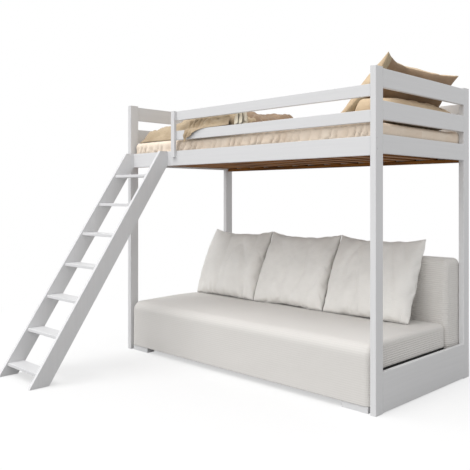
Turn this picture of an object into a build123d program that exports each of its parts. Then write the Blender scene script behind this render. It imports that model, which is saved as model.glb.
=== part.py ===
from build123d import *
import math
import os

# Loft bed with a slanted ladder and a pull-forward sofa bed under the bunk.
# Millimetres. While it is built, X runs from the left outer face of the frame (0),
# Y runs from the front faces of the front posts (0) to the wall, and Z stands on the floor.
# At export everything moves so that the origin is the middle of the footprint, ladder included.

# Driving sizes of the loft frame
bed_length = 2080
bed_width = 985
post_height = 1715
post_thick = 34
post_width = 64
board_thick = 22
wide_board = 95
narrow_board = 60
edge_round = 2.5
side_rail_drop = 344
end_rail_drops = (333, 166, 7)
guard_rail_drops = (215, 88)
end_board_low = 4
end_board_top = 205

# Guard post on the outer faces of the front rails
guard_post_left = 508
guard_post_width = 35
guard_post_thick = 19
guard_post_lap = 52
guard_post_over = 1

# Slats and the strips that carry them
slat_count = 14
slat_rolls = 2
slat_width = 70
slat_thick = 18
slat_end_gap = 1
slat_margin = 12
ledger_thick = 22
ledger_high = 21

# Ladder
ladder_reach = 960
ladder_top_depth = 60
ladder_left = 47
stringer_thick = 22
stringer_board = 100
tread_clear = 359
tread_count = 7
tread_thick = 18
tread_depth = 100
tread_setback = 8
tread_housing = 6
tread_play = 0.1
first_tread_top = 75
last_tread_drop = 151.8

# Furniture bolts and their barrel nuts
bolt_radius = 4
bolt_play = 0.15
bolt_head_radius = 6.5
bolt_head_high = 5
bolt_sink = 7
bolt_reach = 50
side_bolt_drops = (14, 66)
nut_radius = 6
nut_long = 15
nut_back = 38
screw_radius = 3
screw_head_radius = 5.5
screw_head_high = 2.5
screw_bite = 14
ladder_bolt_bite = 46
ladder_bolt_drops = (30, 48)

# Mattress and bedding
mattress_end_gap = 20
mattress_side_gap = 20.5
mattress_high = 134
mattress_round = 28
soft_gap = 0.3
pillow_thick = 150
pillow_seam = 16
lower_pillow_chord = 430
pillow_end_gap = 12
pillow_front_gap = 127.5
pillow_rear_gap = 52.5
upper_pillow_chord = 434
upper_pillow_foot_back = 348
upper_pillow_foot_rise = 87.9
upper_pillow_tilt = 39.5
lower_pillow_thick_share = 0.55
pillow_draw_share = 0.5
throw_end_gap = 30
throw_front_gap = 7.5
throw_length_share = 0.561
throw_deep_share = 0.711
throw_high = 130
throw_rear_high = 190
throw_edge = 8

# Sofa: seat block
sofa_end_gap = 10
sofa_front = 4
seat_low = 32
seat_top = 345
seat_crown = 8
seat_edge_round = 56
seat_corner_round = 26
seat_rear_round = 24
seat_wall = 40
seat_apron = 70
seat_pad = 130
platform_thick = 18
member_thick = 22
member_inset = 46
member_rear_gap = 18
foot_width = 160
foot_inset = 10
foot_depth = 60
foot_setback = 6

# Sofa: fixed base that the seat slides on
base_rail_high = 125
base_rail_front = 90
glide_gap = 0.3
glide_thick = 3
rear_beam_low = 60
rear_beam_thick = 45
rear_beam_gap = 5

# Sofa: backrest and its hinge
back_gap = 8
back_thick = 147
back_low = 150
back_top = 708
back_bulge = 5
back_top_round = 34
back_heel_round = 64
back_rear_round = 14
flat_gap = 30
arm_thick = 6
arm_slot_play = 2
arm_bar = 31
arm_strip = 26
arm_drop = 99.5
arm_flange_wide = 56
arm_flange_thick = 4
arm_share = 0.2
eye_radius = 20
eye_play = 2
pin_radius = 8
pin_play = 0.08
pin_long = 90

# Loose back cushions
cushion_count = 3
cushion_space = 5
cushion_left_gap = 61
cushion_right_gap = 121
cushion_chord = 522
cushion_thick = 160
cushion_seam = 14
cushion_foot_gap = 205
cushion_tilt = 66.6

# Shares that shape a pillow: place along its width, chord, and thickness at each place
pillow_place_shares = (0, 0.05, 0.18, 0.36, 0.5, 0.64, 0.82, 0.95, 1)
pillow_chord_shares = (1.055, 1.04, 0.99, 0.965, 0.96, 0.965, 0.99, 1.04, 1.055)
pillow_thick_shares = (0.02, 0.3, 0.72, 0.95, 1, 0.95, 0.72, 0.3, 0.02)
cushion_chord_shares = (1, 0.992, 0.966, 0.948, 0.944, 0.948, 0.966, 0.992, 1)

# Shares that shape the heaped throw: places along it and height there, then its ridges
throw_place_shares = (0, 0.07, 0.13, 0.25, 0.36, 0.52, 0.68, 0.81, 0.91, 0.96, 1)
throw_front_shares = (0.14, 0.57, 0.67, 0.69, 0.95, 0.99, 1, 1, 0.86, 0.5, 0.16)
throw_rear_shares = (0.1, 0.32, 0.43, 0.52, 0.64, 0.88, 1, 0.87, 0.76, 0.66, 0.16)
ridge_place_shares = (0, 0.24, 0.46, 0.8, 1)
ridge_crest_shares = ((1, 0), (0.5, 0.45), (0, 1), (0, 0.42))
ridge_valley_shares = ((0.2, 0), (0.6, 0.1), (0.15, 0.6), (0, 0.48), (0, 0.08))

# Places worked out from the driving sizes
cut_over = 1
inner_left = board_thick
inner_right = bed_length - board_thick
rail_left = post_thick
rail_right = bed_length - post_thick
side_rail_top = post_height - side_rail_drop
end_rail_tops = tuple(post_height - drop for drop in end_rail_drops)
guard_rail_tops = tuple(post_height - drop for drop in guard_rail_drops)
side_rail_low = side_rail_top - wide_board
guard_post_low = side_rail_low + guard_post_lap
guard_post_top = max(guard_rail_tops) + guard_post_over
front_inner = board_thick
rear_inner = bed_width - board_thick
ledger_top = side_rail_low + ledger_high
slat_top = ledger_top + slat_thick
mattress_low = slat_top
mattress_top = mattress_low + mattress_high
mattress_left = inner_left + mattress_end_gap
mattress_right = inner_right - mattress_end_gap
mattress_front = front_inner + mattress_side_gap
mattress_rear = rear_inner - mattress_side_gap
pillow_front = mattress_front + pillow_front_gap
pillow_width = mattress_rear - pillow_rear_gap - pillow_front
lower_pillow_right = inner_right - pillow_end_gap
upper_pillow_foot = (inner_right - upper_pillow_foot_back, mattress_top + upper_pillow_foot_rise)
throw_left = inner_left + throw_end_gap
throw_right = throw_left + throw_length_share * (mattress_right - mattress_left)
throw_front = mattress_front + throw_front_gap
throw_deep = throw_deep_share * (mattress_rear - mattress_front)
ladder_slope = (ladder_reach - ladder_top_depth) / side_rail_top
tread_rise = (side_rail_top - last_tread_drop - first_tread_top) / (tread_count - 1)
ladder_cut = stringer_board * math.hypot(1, ladder_slope)
ladder_right = ladder_left + 2 * stringer_thick + tread_clear
sofa_left = rail_left + sofa_end_gap
sofa_right = rail_right - sofa_end_gap
cavity_top = seat_top - seat_pad
platform_low = cavity_top - platform_thick
member_low = base_rail_high + glide_gap + glide_thick
back_rear = bed_width - rear_beam_thick - rear_beam_gap
back_front = back_rear - back_thick
seat_rear = back_front - back_gap
member_rear = seat_rear - member_rear_gap
cushion_foot = seat_rear - cushion_foot_gap
cushion_row = sofa_right - cushion_right_gap - sofa_left - cushion_left_gap
cushion_pitch = (cushion_row + cushion_space) / cushion_count
cushion_width = cushion_pitch - cushion_space

# The hinge axis is placed so that the backrest lies flush with the seat when it is flat:
# its front face comes up level with the seat, and its lower edge stops flat_gap behind the seat.
hinge_to_front = (seat_top - back_low + flat_gap - back_gap) / 2
hinge_y = back_front + hinge_to_front
hinge_z = seat_top - hinge_to_front
flat_back_low = seat_top - back_thick

parts = {}


def keep(name, shape):
    """Store one node under its name."""
    parts[name] = shape


def group(shapes):
    """Several separate solids as one node."""
    return Compound([solid for shape in shapes for solid in shape.solids()])


def block(x, y, z):
    """A plain block between a low and a high limit on each axis."""
    middle = [(low + high) / 2 for low, high in (x, y, z)]
    size = [high - low for low, high in (x, y, z)]
    return Pos(*middle) * Box(*size)


def plank(x, y, z, along):
    """A board whose edges along its length are eased."""
    board = block(x, y, z)
    return fillet(board.edges().filter_by(along), edge_round)


def rod(start, direction, radius, length):
    """A round bar from a point along a direction."""
    plane = Plane(origin=start, z_dir=direction)
    return extrude(plane * Circle(radius), length)


def side_bolt_heights():
    """Heights of the two bolts in each end of a side rail."""
    return tuple(side_rail_top - drop for drop in side_bolt_drops)


def side_bolt_axes():
    """Start point, direction and inner side of each bolt that holds a side rail to a post."""
    axes = []
    for y, inward in ((board_thick / 2, 1), (bed_width - board_thick / 2, -1)):
        for z in side_bolt_heights():
            axes.append(((0, y, z), (1, 0, 0), inward))
            axes.append(((bed_length, y, z), (-1, 0, 0), inward))
    return axes


def bolt_void(start, direction):
    """The clearance hole and sunk seat of one side rail bolt, from the outer face of a post."""
    play = bolt_radius + bolt_play
    hole = rod(start, direction, play, post_thick + bolt_reach + cut_over)
    sink = rod(start, direction, bolt_head_radius + bolt_play, bolt_sink)
    return hole + sink


def side_bolt(start, direction):
    """A bolt with a flat round head that sits at the bottom of its sunk seat."""
    axis = Vector(*direction)
    head_face = Vector(*start) + axis * (bolt_sink - bolt_head_high)
    seat_face = Vector(*start) + axis * bolt_sink
    head = rod(head_face, direction, bolt_head_radius, bolt_head_high)
    shank = rod(seat_face, direction, bolt_radius, post_thick - bolt_sink + bolt_reach)
    return head + shank


def nut_centre(start, direction):
    """The middle of a barrel nut on the axis of its bolt."""
    return Vector(*start) + Vector(*direction) * (post_thick + nut_back)


def nut_axis_start(start, direction, inward):
    """Where the hole of a barrel nut opens, on the inner face of its rail."""
    return nut_centre(start, direction) + Vector(0, inward * board_thick / 2, 0)


def nut_void(start, direction, inward):
    """The blind hole of one barrel nut, bored from the inner face of the rail."""
    opening = nut_axis_start(start, direction, inward) + Vector(0, inward * cut_over, 0)
    depth = board_thick / 2 + nut_long / 2 + cut_over
    return rod(opening, (0, -inward, 0), nut_radius + bolt_play, depth)


def barrel_nut(start, direction, inward):
    """A short cross bar with a hole for its bolt."""
    centre = nut_centre(start, direction)
    end = centre + Vector(0, inward * nut_long / 2, 0)
    bar = rod(end, (0, -inward, 0), nut_radius, nut_long)
    back = centre - Vector(*direction) * (nut_radius + cut_over)
    return bar - rod(back, direction, bolt_radius + bolt_play, 2 * (nut_radius + cut_over))


def make_posts():
    """Four corner posts, with the sunk holes of the side rail bolts."""
    voids = [bolt_void(start, direction) for start, direction, _ in side_bolt_axes()]
    for side, x in (("left", (0, post_thick)), ("right", (rail_right, bed_length))):
        for row, y in (("front", (0, post_width)), ("rear", (bed_width - post_width, bed_width))):
            post = block(x, y, (0, post_height))
            post = fillet(post.edges().filter_by(Axis.Z), edge_round)
            post = fillet(post.faces().sort_by(Axis.Z)[-1].edges(), edge_round / 2)
            for void in voids:
                post = post - void
            keep(f"post_{row}_{side}", post)


def make_end_rails():
    """Three rails and one low board at each end, flush with the outer faces of the posts."""
    span = (post_width, bed_width - post_width)
    sides = (("left", (0, board_thick)), ("right", (inner_right, bed_length)))
    names = ("bottom", "middle", "top")
    for side, x in sides:
        for name, top in zip(names, end_rail_tops):
            keep(f"end_rail_{side}_{name}", plank(x, span, (top - wide_board, top), Axis.Y))
        keep(f"end_board_{side}", plank(x, span, (end_board_low, end_board_top), Axis.Y))


def make_side_rails():
    """The two long rails that carry the slats, with bolt and nut holes in their ends."""
    axes = side_bolt_axes()
    rows = (("front", (0, board_thick), 1), ("rear", (rear_inner, bed_width), -1))
    for row, y, inward in rows:
        rail = plank((rail_left, rail_right), y, (side_rail_low, side_rail_top), Axis.X)
        for start, direction, side in axes:
            if side == inward:
                rail = rail - bolt_void(start, direction)
                rail = rail - nut_void(start, direction, side)
        if row == "front":
            for void in ladder_bolt_voids():
                rail = rail - void
            rail = rail - guard_screw_void(side_screw_height())
        keep(f"side_rail_{row}", rail)


def make_guard_rails():
    """Two guard rails in front, from the guard post on, and two along the whole rear."""
    names = ("middle", "top")
    for name, top in zip(names, guard_rail_tops):
        z = (top - narrow_board, top)
        front = plank((guard_post_left, rail_right), (0, board_thick), z, Axis.X)
        front = front - guard_screw_void(top - narrow_board / 2)
        keep(f"guard_rail_front_{name}", front)
        keep(f"guard_rail_rear_{name}", plank((rail_left, rail_right), (rear_inner, bed_width), z, Axis.X))


def side_screw_height():
    """Height of the guard post's screw in the side rail."""
    return (guard_post_low + side_rail_top) / 2


def guard_screw_heights():
    """Heights of the screws of the guard post: one in each rail behind it."""
    return (side_screw_height(),) + tuple(top - narrow_board / 2 for top in guard_rail_tops)


def guard_screw_start(z):
    """The inner face of a front rail, on the axis of a guard post screw."""
    return (guard_post_left + guard_post_width / 2, board_thick, z)


def guard_screw_void(z):
    """The clearance hole of one guard post screw, through a rail and into the post."""
    return rod(guard_screw_start(z), (0, -1, 0), screw_radius + bolt_play, board_thick + screw_bite)


def make_guard_post():
    """The short upright that ties the front rails beside the climb-in gap, and its screws."""
    x = (guard_post_left, guard_post_left + guard_post_width)
    post = plank(x, (-guard_post_thick, 0), (guard_post_low, guard_post_top), Axis.Z)
    screws = []
    for z in guard_screw_heights():
        post = post - guard_screw_void(z)
        start = guard_screw_start(z)
        head = rod(start, (0, 1, 0), screw_head_radius, screw_head_high)
        shank = rod(start, (0, -1, 0), screw_radius, board_thick + screw_bite)
        screws.append(head + shank)
    keep("guard_post", post)
    keep("guard_post_screws", group(screws))


def make_slats():
    """Slats that lie on a strip along each side rail."""
    ledger_z = (side_rail_low, ledger_top)
    front = (front_inner, front_inner + ledger_thick)
    rear = (rear_inner - ledger_thick, rear_inner)
    keep("slat_ledger_front", plank((rail_left, rail_right), front, ledger_z, Axis.X))
    keep("slat_ledger_rear", plank((rail_left, rail_right), rear, ledger_z, Axis.X))
    first = rail_left + slat_margin
    pitch = (rail_right - rail_left - 2 * slat_margin - slat_width) / (slat_count - 1)
    per_roll = slat_count // slat_rolls
    y = (front_inner + slat_end_gap, rear_inner - slat_end_gap)
    for roll in range(slat_rolls):
        slats = []
        for index in range(roll * per_roll, (roll + 1) * per_roll):
            left = first + index * pitch
            slats.append(plank((left, left + slat_width), y, (ledger_top, slat_top), Axis.Y))
        keep(f"slats_{('left', 'right')[roll]}", group(slats))


def stringer_front(z):
    """Y of the front edge of the ladder's side boards at a height."""
    return -ladder_reach + ladder_slope * z


def tread_limits(index):
    """Y and Z limits of one tread, counted up from the floor."""
    top = first_tread_top + index * tread_rise
    front = stringer_front(top) + tread_setback
    return (front, front + tread_depth), (top - tread_thick, top)


def make_tread(index, play):
    """One tread with its ends let into the side boards; play swells it for its housing."""
    y, z = tread_limits(index)
    x = (ladder_left + stringer_thick - tread_housing, ladder_right - stringer_thick + tread_housing)
    x = (x[0] - play, x[1] + play)
    y = (y[0] - play, y[1] + play)
    z = (z[0] - play, z[1] + play)
    return plank(x, y, z, Axis.X)


def ladder_bolt_starts():
    """Inner face of the side rail on the axis of each ladder bolt."""
    places = []
    for x in (ladder_left + stringer_thick / 2, ladder_right - stringer_thick / 2):
        for drop in ladder_bolt_drops:
            places.append((x, board_thick, side_rail_top - drop))
    return places


def ladder_bolt_voids():
    """Clearance holes of the ladder bolts, through the side rail and into the side boards."""
    reach = board_thick + ladder_bolt_bite
    return [rod(start, (0, -1, 0), bolt_radius + bolt_play, reach) for start in ladder_bolt_starts()]


def make_ladder():
    """Side boards cut level at the floor and the rail top, with housed treads and bolts."""
    rear_foot = -ladder_reach + ladder_cut
    outline = Polyline(
        (-ladder_reach, 0),
        (rear_foot, 0),
        (0, -rear_foot / ladder_slope),
        (0, side_rail_top),
        (-ladder_top_depth, side_rail_top),
        close=True,
    )
    voids = ladder_bolt_voids() + [make_tread(index, tread_play) for index in range(tread_count)]
    for side, x in (("left", ladder_left), ("right", ladder_right - stringer_thick)):
        plane = Plane(origin=(x, 0, 0), x_dir=(0, 1, 0), z_dir=(1, 0, 0))
        stringer = extrude(plane * make_face(outline), stringer_thick)
        slanted = [edge for edge in stringer.edges() if abs(edge.length - long_edge()) < edge_round]
        stringer = fillet(slanted, edge_round)
        for void in voids:
            stringer = stringer - void
        keep(f"ladder_stringer_{side}", stringer)
    for index in range(tread_count):
        keep(f"ladder_tread_{index + 1}", make_tread(index, 0))
    bolts = []
    for start in ladder_bolt_starts():
        head = rod(start, (0, 1, 0), bolt_head_radius, bolt_head_high)
        shank = rod(start, (0, -1, 0), bolt_radius, board_thick + ladder_bolt_bite)
        bolts.append(head + shank)
    keep("ladder_bolts", group(bolts))


def long_edge():
    """Length of the front edge of a ladder side board."""
    return math.hypot(ladder_reach - ladder_top_depth, side_rail_top)


def make_side_bolts():
    """The bolts and barrel nuts of the side rails, each kind as one group."""
    axes = side_bolt_axes()
    keep("side_rail_bolts", group(side_bolt(start, way) for start, way, _ in axes))
    keep("side_rail_nuts", group(barrel_nut(*axis) for axis in axes))


def lens(plane, chord, thick, seam):
    """A section of a soft form: two bulged sides that meet two thin seams."""
    half = thick / 2
    lip = seam / 2
    foot_out, top_out = (0, lip), (chord, lip)
    foot_in, top_in = (0, -lip), (chord, -lip)
    outline = Curve() + [
        ThreePointArc(foot_out, (chord / 2, half + lip), top_out),
        Line(top_out, top_in),
        ThreePointArc(top_in, (chord / 2, -half - lip), foot_in),
        Line(foot_in, foot_out),
    ]
    return plane * make_face(outline)


def pillow(start, along, up, width, chord, thick, seam, chord_shares, foot_share):
    """A pillow with a crown, drawn-in sides and peaked corners, lofted along its width.

    foot_share is the part of the drawn-in chord that is taken off at the start point's side.
    """
    sections = []
    for place, long_share, thick_share in zip(pillow_place_shares, chord_shares, pillow_thick_shares):
        own_chord = chord * long_share
        drawn_in = (chord * chord_shares[0] - own_chord) * foot_share
        origin = Vector(*start) + along * (width * place) + up * drawn_in
        plane = Plane(origin=origin, x_dir=up, z_dir=along)
        sections.append(lens(plane, own_chord, thick * thick_share, seam * (1 + thick_share) / 2))
    return loft(sections)


def make_bedding():
    """Mattress, two pillows at the right end and a heaped throw at the left."""
    x = (mattress_left, mattress_right)
    mattress = block(x, (mattress_front, mattress_rear), (mattress_low, mattress_top))
    mattress = fillet(mattress.edges().filter_by(Axis.Z), mattress_round)
    level = mattress.faces().sort_by(Axis.Z)
    mattress = fillet(level[0].edges() + level[-1].edges(), mattress_round / 2)
    keep("mattress", mattress)

    across = Vector(0, 1, 0)
    lower_thick = pillow_thick * lower_pillow_thick_share
    lower_z = mattress_top + soft_gap + (lower_thick + pillow_seam) / 2
    lower_left = lower_pillow_right - lower_pillow_chord * pillow_chord_shares[0]
    keep(
        "pillow_lower",
        pillow(
            (lower_left, pillow_front, lower_z),
            across,
            Vector(1, 0, 0),
            pillow_width,
            lower_pillow_chord,
            lower_thick,
            pillow_seam,
            pillow_chord_shares,
            pillow_draw_share,
        ),
    )
    tilt = math.radians(upper_pillow_tilt)
    foot_x, foot_z = upper_pillow_foot
    keep(
        "pillow_upper",
        pillow(
            (foot_x, pillow_front, foot_z),
            across,
            Vector(math.cos(tilt), 0, math.sin(tilt)),
            pillow_width,
            upper_pillow_chord,
            pillow_thick,
            pillow_seam,
            pillow_chord_shares,
            pillow_draw_share,
        ),
    )
    keep("throw_blanket", make_throw())


def throw_section(x, front_high, rear_high):
    """One cross section of the heaped throw: a flat foot and a run of rounded ridges."""
    plane = Plane(origin=(x, throw_front, mattress_top + soft_gap), x_dir=(0, 1, 0), z_dir=(1, 0, 0))
    places = [share * throw_deep for share in ridge_place_shares]
    valleys = [throw_edge + a * front_high + b * rear_high for a, b in ridge_valley_shares]
    crests = [throw_edge + a * front_high + b * rear_high for a, b in ridge_crest_shares]
    rear = places[-1]
    lines = [Line((0, valleys[0]), (0, 0)), Line((0, 0), (rear, 0)), Line((rear, 0), (rear, valleys[-1]))]
    for index, high in enumerate(crests):
        start = (places[index], valleys[index])
        end = (places[index + 1], valleys[index + 1])
        crest = ((start[0] + end[0]) / 2, high)
        lines.append(ThreePointArc(start, crest, end))
    return plane * make_face(Curve() + lines)


def make_throw():
    """The throw's heap on the mattress."""
    sections = []
    for place, front, rear in zip(throw_place_shares, throw_front_shares, throw_rear_shares):
        x = throw_left + place * (throw_right - throw_left)
        sections.append(throw_section(x, throw_high * front, throw_rear_high * rear))
    return loft(sections)


def seat_profile():
    """Section of the seat block: crowned top, large round front edge, small hem."""
    front, rear = sofa_front, seat_rear
    mid = (front + rear) / 2
    outline = Curve() + [
        Line((front, seat_low), (front, seat_top - seat_crown)),
        ThreePointArc(
            (front, seat_top - seat_crown), (mid, seat_top), (rear, seat_top - seat_crown)
        ),
        Line((rear, seat_top - seat_crown), (rear, seat_low)),
        Line((rear, seat_low), (front, seat_low)),
    ]
    face = make_face(outline)
    rear_corner = face.vertices().sort_by(Axis.X)[-2:].sort_by(Axis.Y)[-1]
    face = fillet(rear_corner, seat_rear_round)
    front_corner = face.vertices().sort_by(Axis.X)[:2].sort_by(Axis.Y)[-1]
    return fillet(front_corner, seat_edge_round)


def seat_height(y):
    """Height of the crowned top of the seat."""
    half = (seat_rear - sofa_front) / 2
    return seat_top - seat_crown * ((y - sofa_front - half) / half) ** 2


def make_seat():
    """The upholstered seat block with its carcass, its feet and the fixed base it slides on."""
    plane = Plane(origin=(sofa_left, 0, 0), x_dir=(0, 1, 0), z_dir=(1, 0, 0))
    seat = extrude(plane * seat_profile(), sofa_right - sofa_left)
    ends = seat.faces().sort_by(Axis.X)
    rim = ends[0].edges() + ends[-1].edges()
    rim = [edge for edge in rim if edge.center().Z > seat_low + cut_over]
    seat = fillet(rim, seat_corner_round)
    cavity_x = (sofa_left + seat_wall, sofa_right - seat_wall)
    cavity_y = (sofa_front + seat_apron, seat_rear + cut_over)
    seat = seat - block(cavity_x, cavity_y, (seat_low - cut_over, cavity_top))
    keep("seat_upholstery", seat)

    platform_y = (cavity_y[0], member_rear)
    keep("seat_platform", block(cavity_x, platform_y, (platform_low, cavity_top)))
    member_z = (member_low, platform_low)
    rear_member_y = (member_rear - member_thick, member_rear)
    left_x = (sofa_left + member_inset, sofa_left + member_inset + member_thick)
    right_x = (sofa_right - member_inset - member_thick, sofa_right - member_inset)
    keep("seat_rear_member", block((left_x[0], right_x[1]), rear_member_y, member_z))
    glides = []
    for side, x in (("left", left_x), ("right", right_x)):
        member_y = (cavity_y[0], rear_member_y[0])
        keep(f"seat_side_member_{side}", block(x, member_y, member_z))
        glides.append(block(x, member_y, (member_low - glide_thick, member_low)))
        rail_y = (base_rail_front, bed_width - rear_beam_thick)
        keep(f"base_rail_{side}", plank(x, rail_y, (0, base_rail_high), Axis.Y))
    keep("seat_glides", group(glides))
    beam_y = (bed_width - rear_beam_thick, bed_width)
    beam_z = (rear_beam_low, flat_back_low - soft_gap)
    keep("base_rear_beam", plank((rail_left, rail_right), beam_y, beam_z, Axis.X))

    foot_y = (sofa_front + foot_setback, sofa_front + foot_setback + foot_depth)
    starts = (sofa_left + foot_inset, sofa_right - foot_inset - foot_width)
    for side, start in zip(("left", "right"), starts):
        foot = plank((start, start + foot_width), foot_y, (0, seat_low), Axis.Z)
        keep(f"sofa_foot_{side}", foot)


def arm_places():
    """X of the middle of each hinge arm."""
    length = sofa_right - sofa_left
    return (("left", sofa_left + arm_share * length), ("right", sofa_right - arm_share * length))


def back_profile():
    """Section of the backrest: bulged front, round top, and a heel that clears the seat."""
    outline = Curve() + [
        ThreePointArc(
            (back_front, back_low),
            (back_front - back_bulge, (back_low + back_top) / 2),
            (back_front, back_top),
        ),
        Line((back_front, back_top), (back_rear, back_top)),
        Line((back_rear, back_top), (back_rear, back_low)),
        Line((back_rear, back_low), (back_front, back_low)),
    ]
    face = make_face(outline)
    high = face.vertices().sort_by(Axis.Y)[-2:].sort_by(Axis.X)
    face = fillet(high[0], back_top_round)
    high = face.vertices().sort_by(Axis.X)[-2:].sort_by(Axis.Y)
    face = fillet(high[-1], back_rear_round)
    heel = face.vertices().sort_by(Axis.Y)[:2].sort_by(Axis.X)
    face = fillet(heel[:1], back_heel_round)
    toe = face.vertices().sort_by(Axis.Y)[:2].sort_by(Axis.X)
    return fillet(toe[-1:], back_rear_round)


def make_backrest():
    """The backrest slab, its hinge pins, and the steel arms of the seat that hold them."""
    plane = Plane(origin=(sofa_left, 0, 0), x_dir=(0, 1, 0), z_dir=(1, 0, 0))
    slab = extrude(plane * back_profile(), sofa_right - sofa_left)
    ends = slab.faces().sort_by(Axis.X)
    rim = ends[0].edges() + ends[-1].edges()
    slab = fillet([edge for edge in rim if edge.center().Y < back_rear - cut_over], back_rear_round)
    slot_half = arm_thick / 2 + arm_slot_play
    for side, x in arm_places():
        slot_y = (hinge_y - eye_radius - eye_play, back_rear + cut_over)
        slot_z = (back_low - cut_over, hinge_z + eye_radius + eye_play)
        slab = slab - block((x - slot_half, x + slot_half), slot_y, slot_z)
        start = (x - pin_long / 2, hinge_y, hinge_z)
        pin = rod(start, (1, 0, 0), pin_radius, pin_long)
        slab = slab - rod(start, (1, 0, 0), pin_radius, pin_long)
        keep(f"hinge_pin_{side}", pin)
        keep(f"hinge_arm_{side}", make_arm(x))
    keep("backrest", slab)


def make_arm(x):
    """A flat steel arm: a flange on the seat carcass, a low strip, and a bar up to the eye."""
    low = hinge_z - eye_radius - arm_drop - arm_strip / 2
    half = arm_thick / 2
    strip = block((x - half, x + half), (member_rear, hinge_y + arm_bar / 2), (low, low + arm_strip))
    bar_y = (hinge_y - arm_bar / 2, hinge_y + arm_bar / 2)
    bar = block((x - half, x + half), bar_y, (low, hinge_z))
    eye = rod((x - half, hinge_y, hinge_z), (1, 0, 0), eye_radius, arm_thick)
    wide = arm_flange_wide / 2
    flange = block(
        (x - wide, x + wide), (member_rear, member_rear + arm_flange_thick), (low, platform_low)
    )
    hole = rod((x - arm_thick, hinge_y, hinge_z), (1, 0, 0), pin_radius + pin_play, 2 * arm_thick)
    return strip + bar + eye + flange - hole


def make_cushions():
    """Three loose cushions that stand on the seat and lean on the backrest."""
    tilt = math.radians(cushion_tilt)
    up = Vector(0, math.cos(tilt), math.sin(tilt))
    foot_z = seat_height(cushion_foot) + soft_gap + cushion_seam / 2 * math.cos(tilt)
    right = sofa_right - cushion_right_gap
    for index in range(cushion_count):
        left = right - cushion_width - (cushion_count - 1 - index) * cushion_pitch
        start = (left, cushion_foot, foot_z)
        shape = pillow(
            start,
            Vector(1, 0, 0),
            up,
            cushion_width,
            cushion_chord,
            cushion_thick,
            cushion_seam,
            cushion_chord_shares,
            0,
        )
        keep(f"back_cushion_{('left', 'middle', 'right')[index]}", shape)


def export_all():
    """Write one STEP per node, with the origin in the middle of the footprint."""
    os.makedirs("parts", exist_ok=True)
    shift = Pos(-bed_length / 2, -(bed_width - ladder_reach) / 2, 0)
    for name, shape in parts.items():
        export_step(shift * shape, f"parts/{name}.step")


make_posts()
make_end_rails()
make_side_rails()
make_guard_rails()
make_guard_post()
make_side_bolts()
make_slats()
make_ladder()
make_bedding()
make_seat()
make_backrest()
make_cushions()
export_all()
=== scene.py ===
# %% [markdown]
# A white loft bed with a slanted ladder, made up with a sheet, a throw and two pillows, and a ribbed
# sofa bed with three loose cushions under it. The wooden and steel parts come from the CAD model and
# only get their finishes here. Everything soft is modelled again as cloth and padding.

# %% Load the frame
import math

import bmesh
import bpy
import numpy as np
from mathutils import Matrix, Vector, noise


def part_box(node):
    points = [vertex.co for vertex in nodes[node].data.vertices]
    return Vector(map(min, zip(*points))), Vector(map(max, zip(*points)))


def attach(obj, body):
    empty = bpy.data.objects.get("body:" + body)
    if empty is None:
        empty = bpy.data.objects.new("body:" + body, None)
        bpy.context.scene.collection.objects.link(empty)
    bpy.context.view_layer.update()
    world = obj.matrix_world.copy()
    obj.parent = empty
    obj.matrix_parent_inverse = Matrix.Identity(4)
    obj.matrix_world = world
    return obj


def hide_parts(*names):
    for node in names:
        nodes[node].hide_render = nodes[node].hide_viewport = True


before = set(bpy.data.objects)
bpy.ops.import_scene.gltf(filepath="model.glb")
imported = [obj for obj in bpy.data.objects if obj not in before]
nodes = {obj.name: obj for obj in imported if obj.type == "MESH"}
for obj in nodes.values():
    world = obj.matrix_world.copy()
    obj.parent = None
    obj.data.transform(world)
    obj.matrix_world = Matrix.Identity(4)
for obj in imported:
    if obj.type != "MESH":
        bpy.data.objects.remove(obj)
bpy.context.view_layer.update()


# %% [markdown]
# Two small helpers serve every material. Hex colours, as a person reads them off a swatch, are turned into
# the linear numbers that the renderer works in, and one function adds a node with its settings and links.

# %% Colours and nodes
def srgb(code):
    """A hex colour as linear red, green, blue and alpha."""
    parts = [int(code[i : i + 2], 16) / 255 for i in (1, 3, 5)]
    return tuple(c / 12.92 if c <= 0.04045 else ((c + 0.055) / 1.055) ** 2.4 for c in parts) + (1.0,)


def add(tree, kind, values=None, links=None, **settings):
    """Add one node with its settings, the values of its inputs and the sockets linked to them."""
    node = tree.nodes.new(kind)
    for key, value in settings.items():
        setattr(node, key, value)
    for key, value in (values or {}).items():
        node.inputs[key].default_value = value
    for key, socket in (links or {}).items():
        tree.links.new(socket, node.inputs[key])
    return node


# %% [markdown]
# Every finish of this bed is an uneven pattern, such as grain, nap or yarn, with two tones spread over it
# and a height that raises the surface. The patterns could be painted pictures, but worked out from real
# sizes they stay sharp at any distance and need no file.

# %% Helpers for finishes
def empty_tree(owner):
    """The node tree of a material or a world, with nothing in it."""
    owner.use_nodes = True
    owner.node_tree.nodes.clear()
    return owner.node_tree


def start_material(name, **values):
    """A new material with only a Principled shader and its output."""
    made = bpy.data.materials.new(name)
    tree = empty_tree(made)
    shader = add(tree, "ShaderNodeBsdfPrincipled", values)
    add(tree, "ShaderNodeOutputMaterial", links={"Surface": shader.outputs["BSDF"]})
    return made, tree, shader


def per_m(mm):
    """How many features of this size in millimetres fit into one metre."""
    return 1000 / mm


def uneven(tree, coordinates, scale, **values):
    """An uneven pattern over stretched coordinates; values are the noise's own inputs."""
    placed = add(tree, "ShaderNodeMapping", {"Scale": scale}, {"Vector": coordinates})
    made = add(tree, "ShaderNodeTexNoise", {"Scale": 1, **values}, {"Vector": placed.outputs[0]})
    return made.outputs["Fac"]


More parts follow.
